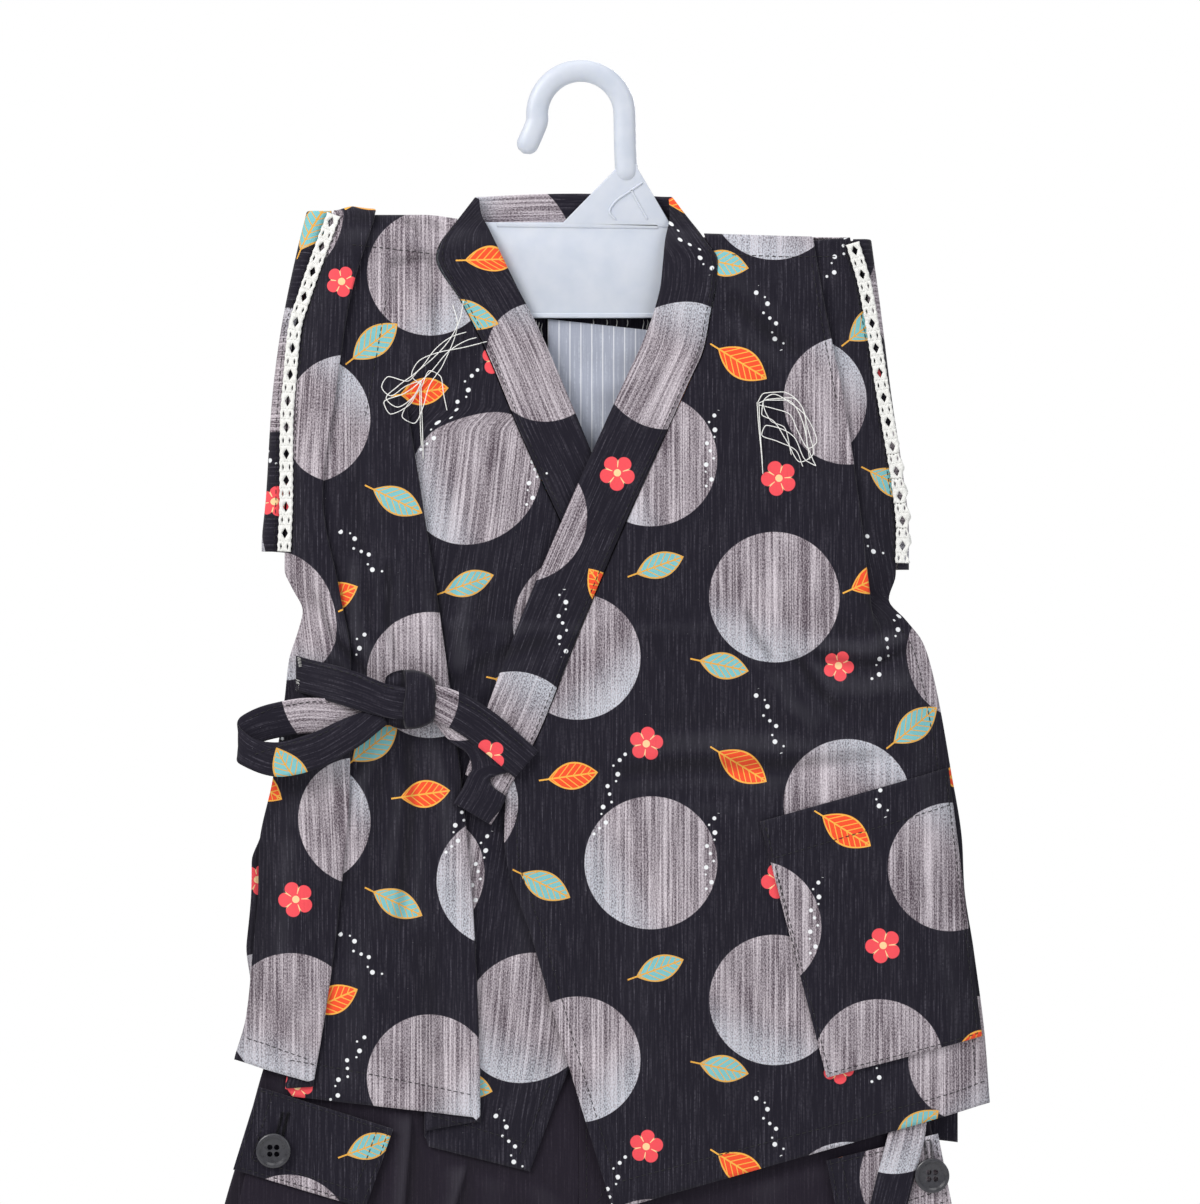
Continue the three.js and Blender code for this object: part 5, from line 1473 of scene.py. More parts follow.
@dataclass
class Shorts:
    """The shorts that hang inside the top: legs, waistband, pockets, flaps and buttons."""

    pocket_inset: float = 0.06
    pocket_top: float = 0.35
    pocket_drop: float = 78.0
    buttons: tuple[Pair, ...] = ((-134.3, -467.8), (153.5, -478.7))
    button_radius: float = 7.5
    button_thick: float = 2.4
    button_face: tuple[Pair, ...] = ((0.5, 0.3), (0.7, 0), (0.9, -0.9))  # its rim and dish: inwards and up
    hole_radius: float = 1.2
    drill_length: float = 8.0
    hole_from_middle: float = 1.5

    def build(self) -> dict[str, Piece]:
        """Makes the pieces, and returns each by its name."""
        plain, leg = Finish.PLAIN, self._leg
        cloths = [
            Cloth("waistband", waistband_grid(), "back", "shorts_waistband", plain, held="gathered"),
            Cloth("leg_right", leg_grid("right", -1), "waistband", "shorts_leg_right", plain, relief=leg),
            Cloth("leg_left", leg_grid("left", 1), "waistband", "shorts_leg_left", plain, relief=leg),
        ]
        for side, corners, shift in (("right", RIGHT_FLAP, (76, 90)), ("left", LEFT_FLAP, (88, 0))):
            pocket, on_pocket = self._pocket(corners), self._at(SHORTS_DEPTH + 2 * STEP)
            flap = patch_grid(corners, 46, 28, on_pocket)
            under, over = f"cargo_pocket_{side}", f"pocket_flap_{side}"
            cloths.append(Cloth(under, pocket, f"leg_{side}", finish=plain, relief=shorts_relief))
            cloths.append(Cloth(over, flap, under, thick=0.9, shift=shift, relief=shorts_relief))
        made = {cloth.name: cloth.build() for cloth in cloths}
        for side, (x, z) in zip(("right", "left"), self.buttons):
            made[f"flap_button_{side}"] = self._button(side, x, z)
        return made

    @staticmethod
    def _at(depth: float) -> Surface:
        """The y at x and z of a flat surface some mm forward."""
        return lambda x, z: np.full(np.shape(x), -depth)

    @staticmethod
    def _leg(x: Array, z: Array) -> Array:
        """The legs' relief, even on their front and faded to their outer sides."""
        side = np.minimum(x - LEGS.at("right", z), LEGS.at("left", z) - x)
        return shorts_relief(x, z) * ease(side / 12)

    def _pocket(self, flap: Line) -> Array:
        """The pocket's grid, its top edge under the flap.

        Args:
            flap: The flap's corners.
        Returns:
            Rows of points.
        """
        a, b, c, d = (np.array(corner, float) for corner in flap)
        left, right = mix(a, c, self.pocket_top), mix(b, d, self.pocket_top)
        upper = mix(left, right, self.pocket_inset), mix(left, right, 1 - self.pocket_inset)
        lean = np.array([(c[0] - a[0]) * 1.6, -self.pocket_drop])
        return patch_grid((*upper, upper[0] + lean, upper[1] + lean), 40, 44, self._at(SHORTS_DEPTH + STEP))

    def _button(self, side: str, x: float, z: float) -> Piece:
        """A four-hole button with a raised rim.

        Args:
            side: Which pocket.
            x: Its centre across.
            z: Its centre up.
        Returns:
            The object.
        """
        y = -(SHORTS_DEPTH + 2 * STEP + 0.85) - float(shorts_relief(np.array(x), np.array(z)))
        turned, add = (math.pi / 2, 0, 0), bpy.ops.mesh.primitive_cylinder_add
        add(vertices=48, radius=self.button_radius * MM, depth=self.button_thick * MM, rotation=turned)
        button = bpy.context.object
        bpy.ops.object.transform_apply(location=True, rotation=True, scale=True)
        bpy.ops.object.mode_set(mode="EDIT")
        bpy.ops.mesh.select_all(action="DESELECT")
        shape = bmesh.from_edit_mesh(button.data)
        for face in shape.faces:
            face.select = face.normal.y < -0.9
        bmesh.update_edit_mesh(button.data)
        for inwards, up in self.button_face:
            bpy.ops.mesh.inset(thickness=inwards * MM, depth=up * MM)
        bpy.ops.object.mode_set(mode="OBJECT")
        for right, up in ((-1, -1), (-1, 1), (1, -1), (1, 1)):
            place = (right * self.hole_from_middle * MM, 0, up * self.hole_from_middle * MM)
            through = self.drill_length * MM
            add(vertices=20, radius=self.hole_radius * MM, depth=through, location=place, rotation=turned)
            drill = bpy.context.object
            modify(button, "hole", "BOOLEAN", object=drill, operation="DIFFERENCE", solver="EXACT")
            bpy.data.objects.remove(drill)
        modify(button, "rounded", "BEVEL", width=0.22 * MM, segments=3, limit_method="ANGLE")
        button.data.transform(Matrix.Translation((x * MM, (y - self.button_thick / 2) * MM, z * MM)))
        button.name = button.data.name = f"flap_button_{side}_resin"
        button.data.shade_smooth()
        button.select_set(True)
        bpy.ops.object.shade_smooth_by_angle(angle=math.radians(35))
        return settle(button, Finish.BUTTON, f"flap_button_{side}")


@dataclass
class Ties:
    """The side tie in its half bow, and the tie that hangs inside at the left."""

    centre: tuple[float, float, float] = (-74.4, -10.7, -270.6)
    half: tuple[float, float, float] = (12.6, 4.6, 12.9)
    wrap_edge: float = -77.4  # where the last wrap covers the strap
    strap_gap: float = 1.45  # from the middle of the cloth under the strap to the strap's
    over_knot: float = -13.9  # the strap's depth on the knot
    knot_shift: Pair = (191.0, 332.0)  # its place in the print

    def build(self) -> dict[str, Piece]:
        """Makes the pieces, and returns each by its name."""
        lift = front_relief(np.array(self.centre[0]), np.array(self.centre[2]))

        def held_by_knot(x: Array, z: Array) -> Array:
            """Stands out as far as the cloth under the knot."""
            return lift + 0 * x

        def over_cloth(x: Array, z: Array) -> Array:
            """Follows the cloth, and then the knot."""
            return mix(front_relief(x, z), lift, self._risen(x))

        strap = {"upright": False, "held": "folded", "thick": 0.8}
        bow = {"relief": held_by_knot, **strap}
        front, rear = self._creased(TIE_FRONT_TAIL, 50), self._creased(TIE_REAR_TAIL, 60)
        inner = strip_grid(INNER_TIE, 80)
        cloths = (
            Cloth("tie_strap", self._strap(), "front_right", relief=over_cloth, shift=(152, 84), **strap),
            Cloth("tie_loop", self._creased(TIE_LOOP, 110), "tie_knot", shift=(104, 96), **bow),
            Cloth("tie_front_tail", front, "neckband_left", shift=(150, 38), **bow),
            Cloth("tie_rear_tail", rear, "front_right", shift=(8, 140), **bow),
            Cloth("inner_tie", inner, "leg_left", relief=shorts_relief, shift=(66, 0), **strap),
        )
        made = {cloth.name: cloth.build() for cloth in cloths}
        made["tie_knot"] = self._knot(float(lift))
        return made

    @staticmethod
    def _creased(route: Route, count: int) -> Array:
        """A strip with soft lengthwise creases that run out of the knot.

        Args:
            route: Its route of x, y, z and width.
            count: How many rows.
        Returns:
            Rows of points.
        """
        rows = strip_grid(route, count)
        down, across = rows.shape[:2]
        s, t = np.linspace(0, 1, down)[:, None], np.linspace(-1, 1, across)[None, :]
        ends = np.minimum(s, 0.35) / 0.35
        rows[..., 1] -= (1 - ends) * 0.35 * np.cos(t * 7 + 0.6) + 0.16 * np.sin(s * 17 + t * 2.2)
        return rows

    @staticmethod
    def _risen(x: Value) -> Array:
        """How far the strap has risen: 0 on the cloth and 1 on the knot."""
        return ease((x + 118) / 18)

    def _strap(self) -> Array:
        """The stretch from the side seam over the knot to its last wrap, on the right front.

        Returns:
            Rows of points.
        """
        dense = along_route(TIE_STRAP, 60, 2)
        rows = []
        for x, top, bottom in dense:
            near = np.maximum(-126, x + np.array([-7, -3.5, 0, 3.5, 7]))
            y = right_surface(near, top - 8).min() - self.strap_gap
            y = mix(y, min(y, self.over_knot), self._risen(x))
            z = np.linspace(top, bottom, 11)
            rows.append(np.stack([np.full(11, x), y - 0.2 * np.sin(np.linspace(0, math.pi, 11)), z], -1))
        return np.array(rows)

    def _knot(self, lift: float) -> Piece:
        """The knot, wrapped once by the strap, with folds drawn into its sides.

        Args:
            lift: How far the cloth under it stands out.
        Returns:
            The object.
        """
        around, up = 132, 84
        theta = np.linspace(0, 2 * math.pi, around, endpoint=False)[None, :]
        phi = np.linspace(-math.pi / 2, math.pi / 2, up)[:, None]
        px, py, pz = np.cos(phi) * np.cos(theta), np.cos(phi) * np.sin(theta), np.sin(phi) + 0 * theta

        def square(v: Array) -> Array:
            """A sphere's coordinate, with the sphere made a little square."""
            return np.sign(v) * abs(v) ** 0.82

        wide = (1 - 0.08 * np.cos(pz * math.pi)) * (1 + 0.03 * np.sin(pz * 9 + 1) * abs(px))
        x = self.centre[0] + self.half[0] * square(px) * wide
        high = self.half[2] * square(pz) * (1 - 0.06 * px)
        z = self.centre[2] + high
        wrap = ease((x - self.wrap_edge - 0.7 * np.sin(high * 0.3)) / 1.3)
        folds = 0.34 * np.sin(x * 0.9 + high * 0.55) * wrap + 0.14 * np.sin(z * 1.5) * (1 - wrap)
        front = np.where(py < 0, ease(-py * 2), 0)
        y = self.centre[1] - lift + self.half[1] * square(py)
        y -= front * (1.5 * wrap - 2.4 * (1 - wrap) + folds)
        verts = np.stack([x, y, z], -1).reshape(-1, 3)
        place = np.arange(around * up).reshape(up, around)
        turned = np.roll(place, -1, axis=1)
        quads = np.stack([place[:-1], turned[:-1], turned[1:], place[1:]], -1).reshape(-1, 4)
        knot = new_piece(piece_name("tie_knot"), verts, quads.tolist(), Finish.PRINT, "tie_knot")
        flat = np.stack([x, z * 1.3], -1).reshape(-1, 2)[quads.reshape(-1)] + self.knot_shift
        # painted shade: a dark line along the wrap's edge on the knot's front, through the crease attribute
        carry(knot, flat, -np.exp(-(((x - self.wrap_edge + 0.2) / 0.9) ** 2)) * (py < 0))
        close_up(knot.data, 1e-5)
        return knot


@dataclass
class Lace:
    """A lace strip over each armhole seam, with diamond holes and smaller ones between."""

    width: float = 5.8
    pitch: float = 10.8
    hole: Pair = (2.7, 4.6)
    small: Pair = (0.9, 3.0)
    long_share: float = 0.62  # the part of a pitch with the large hole
    thick: float = 0.5

    def build(self) -> dict[str, Piece]:
        """Makes both strips, and returns each by its name."""
        return {
            "lace_right": self._strip("lace_right", RIGHT_LACE, 0.0),
            "lace_left": self._strip("lace_left", LEFT_LACE, 0.7),
        }

    def _depth(self, name: str, x: Array, z: Array) -> Array:
        """The y of a strip over its seam."""
        own = np.minimum(-3.35, right_surface(x, z) - 0.85) if name == "lace_right" else -3.35
        return own - front_relief(x, z)

    def _cells(self, total: float) -> tuple[Array, list[list[int]], float]:
        """The strip laid straight: a row of cells, each a ring of faces round its hole.

        Args:
            total: The length to fill.
        Returns:
            Points across, along and outwards, the faces, and the length that whole cells take.
        """
        verts: list[Array] = []
        faces: list[list[int]] = []

        def cell(left: float, right: float, top: float, bottom: float, hole: Pair, side: int) -> None:
            """Adds a ring of faces between a rectangle and its diamond hole."""
            start, count = len(verts), 4 * side
            corners = np.array([(left, top), (right, top), (right, bottom), (left, bottom), (left, top)])
            ring = [mix(corners[i // side], corners[i // side + 1], i % side / side) for i in range(count)]
            middle = corners[:4].mean(axis=0)
            for depth in (0.0, 0.55, 1.0):
                for place in ring:
                    way = (place - middle) / math.dist(place, middle)
                    reach = 1 / (abs(way[0]) / (hole[0] / 2) + abs(way[1]) / (hole[1] / 2))
                    x, s = mix(place, middle + reach * way, depth)
                    verts.append(np.array([x, s, 0.28 * math.sin(depth * math.pi)]))
            for a in (start, start + count):
                for i in range(count):
                    j = (i + 1) % count
                    faces.append([a + i, a + j, a + count + j, a + count + i])

        half, place = self.width / 2, 0.0
        while place + self.pitch <= total:
            long, end = place + self.pitch * self.long_share, place + self.pitch
            cell(-half, half, place, long, self.hole, 8)
            cell(-half, 0, long, end, self.small, 6)
            cell(0, half, long, end, self.small, 6)
            place = end
        return np.array(verts), faces, place

    def _strip(self, name: str, line: Line, ruffle: float) -> Piece:
        """One strip over its seam.

        Args:
            name: Its name.
            line: Its middle line.
            ruffle: How far its lower outer edge waves, in mm.
        Returns:
            The object.
        """
        route = along_route(line, 400, 2)
        gone = way_along(route)
        total = gone[-1]
        points, faces, place = self._cells(total)
        s = points[:, 1] * total / place
        way = np.stack([np.gradient(route[:, i], gone) for i in range(2)], -1)
        centre = np.stack([np.interp(s, gone, route[:, i]) for i in range(2)], -1)
        turn = np.stack([np.interp(s, gone, way[:, i]) for i in range(2)], -1)
        turn /= np.linalg.norm(turn, axis=1)[:, None]
        edge = np.clip(abs(points[:, 0]) / (self.width / 2), 0, 1) ** 4
        wave = 0.16 * np.cos(s / self.pitch * 6 * math.pi) * np.sign(points[:, 0]) * edge
        loose = ease((s / total - 0.55) / 0.2) * ruffle * edge * (points[:, 0] > 0)
        across = points[:, 0] + wave + loose * 1.3 * np.sin(s / self.pitch * 2 * math.pi)
        x = centre[:, 0] - turn[:, 1] * across
        z = centre[:, 1] + turn[:, 0] * across
        y = self._depth(name, x, z) - points[:, 2] * 0.5 - loose * 0.9 * np.sin(s * 0.9)
        piece = new_piece(name + "_strip", np.stack([x, y, z], -1), faces, Finish.LACE, name)
        close_up(piece.data, 2e-5)
        modify(piece, "thickness", "SOLIDIFY", applied=False, thickness=self.thick * MM, offset=0.0)
        return piece


@dataclass
class Hanger:
    """The header hanger: a hook, its gusset with ribs, and a plate with raised rims."""

    inside: float = 14.3
    bar: float = 9.7
    thick: float = 6.0
    plate_thick: float = 2.2
    rim_thick: float = 3.0
    plate: Line = (
        (-94, -61.2), (-67, -61.4), (-61, -67), (-49, -69), (-43.4, -61.6), (0, -61.6), (41.5, -62.8),
        (47, -74), (60, -75), (66, -71), (90, -71.2), (90, -80), (60, -103.6), (-58, -103.6), (-94, -74),
    )
    gusset: Line = ((15.2, -36), (15.4, -38), (-8.6, -62.6), (40.2, -64), (24.9, -38), (24.9, -36))
    rims: tuple[Line, ...] = (
        ((-37, -61.6), (-37, -63.8), (34, -64.6), (34, -62.4)),
        ((-27, -101.4), (-27, -103.6), (36, -103.6), (36, -101.4)),
    )
    ribs: tuple[Line, ...] = (
        ((27.4, -44), (22.4, -47.5), (14.8, -53), (12.6, -57), (15.6, -61)),
        ((21.6, -46.8), (25.2, -53.4), (29.3, -60.6)),
    )

    def build(self) -> Piece:
        """Makes the hanger, one moulding.

        Returns:
            The object.
        """
        gusset, plate = self._board(self.gusset, self.rim_thick), self._board(self.plate, self.plate_thick)
        parts = [self._hook(), gusset, plate]
        parts += [self._board(rim, self.rim_thick) for rim in self.rims]
        parts += [self._rib(rib) for rib in self.ribs]
        bpy.ops.object.select_all(action="DESELECT")
        for part in parts:
            part.select_set(True)
        bpy.context.view_layer.objects.active = parts[0]
        bpy.ops.object.join()
        hanger = bpy.context.object
        hanger.name = hanger.data.name = piece_name("hanger")
        bpy.ops.object.shade_smooth_by_angle(angle=math.radians(40))
        return settle(hanger, Finish.HANGER, "hanger")

    @staticmethod
    def _tube(route: Array, across: float, deep: float, sides: int) -> Piece:
        """A round-ended bar along a route of x and z, from a rolled grid.

        Args:
            route: Its middle line, in mm.
            across: Its width in the front plane.
            deep: Its depth.
            sides: Points round it.
        Returns:
            The object.
        """
        count = len(route)
        bpy.ops.mesh.primitive_grid_add(x_subdivisions=sides, y_subdivisions=count - 1, size=1)
        bar = bpy.context.object
        gone = way_along(route)
        left = np.minimum(gone, gone[-1] - gone) / (across / 2)
        radius = np.sqrt(np.clip(1 - (1 - np.minimum(left, 1)) ** 2, 0.0004, 1))
        way = np.gradient(route, axis=0)
        way /= np.linalg.norm(way, axis=1)[:, None]
        bpy.ops.object.mode_set(mode="EDIT")
        shape = bmesh.from_edit_mesh(bar.data)
        for vert in shape.verts:
            i = round((vert.co.y + 0.5) * (count - 1))
            angle = (vert.co.x + 0.5) * 2 * math.pi
            out = radius[i] * across / 2 * math.cos(angle)
            x, z = route[i][0] - way[i][1] * out, route[i][1] + way[i][0] * out
            vert.co = (x * MM, radius[i] * deep / 2 * math.sin(angle) * MM, z * MM)
        bmesh.update_edit_mesh(bar.data)
        bpy.ops.mesh.select_all(action="SELECT")
        bpy.ops.mesh.remove_doubles(threshold=1e-6)
        bpy.ops.mesh.normals_make_consistent(inside=False)
        bpy.ops.object.mode_set(mode="OBJECT")
        return bar

    def _hook(self) -> Piece:
        """The hook."""
        centre = self.inside + self.bar / 2
        line = [(20, -44), (19.7, -36), (19.4, -28)]
        for i in range(25):
            angle = i / 24 * math.pi * 1.03
            line.append((centre * math.cos(angle), -self.inside + centre * math.sin(angle)))
        line += [(-21, -22), (-23.4, -27.4), (-25.2, -31.4)]
        return self._tube(along_route(line, 130, 2), self.bar, self.thick, 28)

    def _rib(self, line: Line) -> Piece:
        """A thin rib on the gusset.

        Args:
            line: Its route.
        Returns:
            The object.
        """
        rib = self._tube(along_route(line, 30, 2), 1.1, 1.2, 10)
        rib.data.transform(Matrix.Translation((0, -self.rim_thick / 2 * MM, 0)))
        return rib

    @staticmethod
    def _board(outline: Line, thick: float) -> Piece:
        """A board with rounded edges, from a disc shaped to its outline.

        Args:
            outline: Its corners, x and z in mm.
            thick: Its thickness.
        Returns:
            The object.
        """
        bpy.ops.mesh.primitive_circle_add(vertices=len(outline), fill_type="NGON")
        board = bpy.context.object
        bpy.ops.object.mode_set(mode="EDIT")
        shape = bmesh.from_edit_mesh(board.data)
        shape.verts.ensure_lookup_table()
        for vert, (x, z) in zip(shape.verts, outline):
            vert.co = (x * MM, 0, z * MM)
        bmesh.update_edit_mesh(board.data)
        bpy.ops.object.mode_set(mode="OBJECT")
        modify(board, "thickness", "SOLIDIFY", thickness=thick * MM, offset=0.0)
        modify(board, "rounded", "BEVEL", width=0.5 * MM, segments=3, limit_method="ANGLE")
        bpy.ops.object.mode_set(mode="EDIT")
        bpy.ops.mesh.select_all(action="SELECT")
        bpy.ops.mesh.normals_make_consistent(inside=False)
        bpy.ops.object.mode_set(mode="OBJECT")
        return board


def tree_of(pieces: Sequence[Piece]) -> BVHTree:
    """The surfaces of some pieces, for laying thread on.

    Args:
        pieces: The objects.
    Returns:
        A tree to cast rays at.
    """
    graph = bpy.context.evaluated_depsgraph_get()
    verts, faces = [], []
    for piece in pieces:
        mesh = piece.evaluated_get(graph).to_mesh()
        start = len(verts)
        verts.extend(v.co.copy() for v in mesh.vertices)
        faces.extend([start + i for i in face.vertices] for face in mesh.polygons)
    return BVHTree.FromPolygons(verts, faces)


def tube_mesh(paths: Sequence[Array], radius: float, sides: int) -> tuple[list, list]:
    """Round threads along some paths.

    Args:
        paths: Each a row of points in mm.
        radius: Their radius in mm.
        sides: Points round them.
    Returns:
        Points in mm, and faces.
    """
    verts: list[Array] = []
    faces: list[list[int]] = []
    for path in paths:
        start = len(verts)
        way = np.gradient(path, axis=0)
        way /= np.maximum(np.linalg.norm(way, axis=1), 1e-9)[:, None]
        for i, (point, ahead) in enumerate(zip(path, way)):
            side = np.cross(ahead, (0.0, 1.0, 0.0))
            side /= max(np.linalg.norm(side), 1e-9)
            up = np.cross(side, ahead)
            size = radius * (0.5 if i in (0, len(path) - 1) else 1)
            for k in range(sides):
                angle = 2 * math.pi * k / sides
                verts.append(point + size * (math.cos(angle) * side + math.sin(angle) * up))
        for i in range(len(path) - 1):
            for k in range(sides):
                a, b = start + i * sides + k, start + i * sides + (k + 1) % sides
                faces.append([a, b, b + sides, a + sides])
        faces.append([start + k for k in range(sides)][::-1])
        faces.append([start + (len(path) - 1) * sides + k for k in range(sides)])
    return verts, faces


def sew(name: str, paths: Sequence[Array], radius: float, finish: Finish, sides: int = 5) -> None:
    """Makes a piece of thread.

    Args:
        name: Its name.
        paths: Its threads' paths, in mm.
        radius: Their radius in mm.
        finish: Its material.
        sides: Points round them.
    """
    verts, faces = tube_mesh(paths, radius, sides)
    new_piece(name, np.array(verts), faces, finish)


@dataclass(frozen=True)
class Seam:
    """A line of stitches on a piece."""

    on: str
    line: Line
    pitch: float
    stitch: float


def seams(on: str, *lines: Line, pitch: float = 2.9, stitch: float = 2.2) -> list[Seam]:
    """Seams along some lines on one piece, with the same stitch."""
    return [Seam(on, line, pitch, stitch) for line in lines]


def on_band(table: Route) -> Line:
    """A line along a neckband, just inside its seam."""
    return [(mix(a, c, 0.07), mix(b, d, 0.07)) for a, b, c, d in along_route(table, 60, 4)[3:]]


def beside_edge(chart: Chart, top: float, bottom: float, by: float) -> Line:
    """A line down a panel, some mm beside its edge."""
    return [(chart.at("x", z) + by, z) for z in np.linspace(top, bottom, 40)]


def inside(corners: Line, edge: float) -> Line:
    """A line down one side of a patch, along its foot and up the other side, some mm inside its edge."""
    a, b, c, d = (np.array(corner, float) for corner in corners)
    across, down = (b - a) / np.linalg.norm(b - a), (c - a) / np.linalg.norm(c - a)
    return [a + across * edge, c + (across - down) * edge, d - (across + down) * edge, b - across * edge]


SEAMS = [
    *seams("neckband_left", on_band(OVER_BAND)),
    *seams("neckband_right", on_band(UNDER_BAND[:9])),
    *seams("neckband_back", ((-43, -72.6), (-20, -73.6), (-10, -73.6))),
    *seams(
        "front_left",
        beside_edge(LEFT_FRONT_EDGE, -320, -482, 6),
        ((18, -481), (61, -469.6), (108, -457.4), (164, -442.4), (178, -437.4)),
        ((66, -76.2), (92, -77.2), (118, -76.6)),
        ((101, -80), (105, -104), (112, -142)),
        beside_edge(LEFT_SIDE, -240, -436, -5.6),
        [(x - 3.9, z) for x, z in LEFT_LACE],
    ),
    *seams(
        "front_right",
        ((-149, -418.4), (-138, -421.2), (-119, -428)),
        ((-127, -428.2), (-90, -435), (-46, -443.8)),
        ((-65, -452.6), (-24, -465)),
        ((-27, -470), (-13, -438)),
        ((-85.4, -96.1), (-89, -118), (-94.2, -147.2)),
        ((-100, -72), (-88, -73), (-62, -76)),
        [(x + 3.9, z) for x, z in RIGHT_LACE],
    ),
    *seams("sleeve_right", [(x - 4.6, z) for x, z in RIGHT_LACE[2:]]),
    *seams("patch_pocket", ((82, -340.6), (164.1, -316.2)), inside(POCKET, 1.6), ((81, -326.4), (105, -432))),
    *seams("pocket_flap_right", *(inside(RIGHT_FLAP, by) for by in (1.6, 6.5))),
    *seams("pocket_flap_right", ((-139.6, -441.8), (-83, -460))),
    *seams("pocket_flap_left", *(inside(LEFT_FLAP, by) for by in (1.6, 6.5))),
    *seams("pocket_flap_left", ((108.6, -474), (155.4, -462.6))),
    *seams("cargo_pocket_right", ((-151, -489), (-160, -526), (-104, -545), (-97, -508))),
    *seams("cargo_pocket_left", ((112, -516), (120, -556), (170, -545), (160, -505))),
    *seams("leg_left", ((2.4, -430), (2.6, -548)), pitch=2.6, stitch=2.0),
    *seams("leg_left", ((14, -424), (14.6, -476), (8, -490), (3, -494)), LEG_HEMS[1]),
    *seams("leg_right", LEG_HEMS[-1]),
    *seams("tie_front_tail", ((-58, -268.4), (-43, -276.4), (-23, -292.6)), ((-55, -288.4), (-37, -301))),
    *seams("tie_strap", ((-122, -253.4), (-100, -259.4), (-90, -263.2), (-79, -266.4))),
    *seams(
        "tie_loop",
        ((-142, -294.5), (-132, -291), (-116, -287), (-103, -281)),
        ((-145, -279), (-134, -274.2), (-118, -271.6), (-104, -272)),
    ),
]
BACK_SEAMS = [
    *seams(
        "back",
        ((-140, -419), (-60, -427), (40, -439), (158, -453)),
        ((-132, -250), (-137, -330), (-144, -416)),
        ((150, -262), (162, -350), (165, -416), (159, -450)),
    ),
    *seams("neckband_back", ((-48, -73.6), (0, -74.4), (46, -73.4))),
    *seams("leg_right", LEG_HEMS[-1]),
    *seams("leg_left", LEG_HEMS[1]),
]
STITCH = ((0, -0.15), (0.25, 0.08), (0.5, 0.12), (0.75, 0.08), (1, -0.15))  # share of its length, and height


@dataclass
class Sewing:
    """The seams' stitches, joined into one piece for each side."""

    pieces: dict[str, Piece]
    radius: float = 0.19

    def build(self) -> None:
        """Lays every seam's stitches."""
        for name, lines, way in (("stitches_front", SEAMS, -1.0), ("stitches_back", BACK_SEAMS, 1.0)):
            trees = {on: tree_of([self.pieces[on]]) for on in {seam.on for seam in lines}}
            paths = [path for seam in lines for path in self.lay(seam, trees[seam.on], way)]
            sew(name, paths, self.radius, Finish.BLACK_THREAD)

    @staticmethod
    def lay(seam: Seam, tree: BVHTree, way: float) -> list[Array]:
        """One seam's stitches, each dipping into the cloth at its ends.

        Args:
            seam: The seam.
            tree: The surface of its piece.
            way: -1 on the front and 1 behind.
        Returns:
            A path for each stitch.
        """
        line = np.array(seam.line, float)
        gone = way_along(line)
        paths = []
        for start in np.arange(0, gone[-1] - seam.stitch, seam.pitch):
            path = []
            for share, out in STITCH:
                x, z = (np.interp(start + share * seam.stitch, gone, line[:, i]) for i in range(2))
                hit = tree.ray_cast(Vector((x * MM, way * 0.1, z * MM)), Vector((0, -way, 0)))[0]
                if hit is None:
                    break
                path.append((x, hit.y / MM + way * out, z))
            if len(path) == len(STITCH):
                paths.append(np.array(path))
        return paths


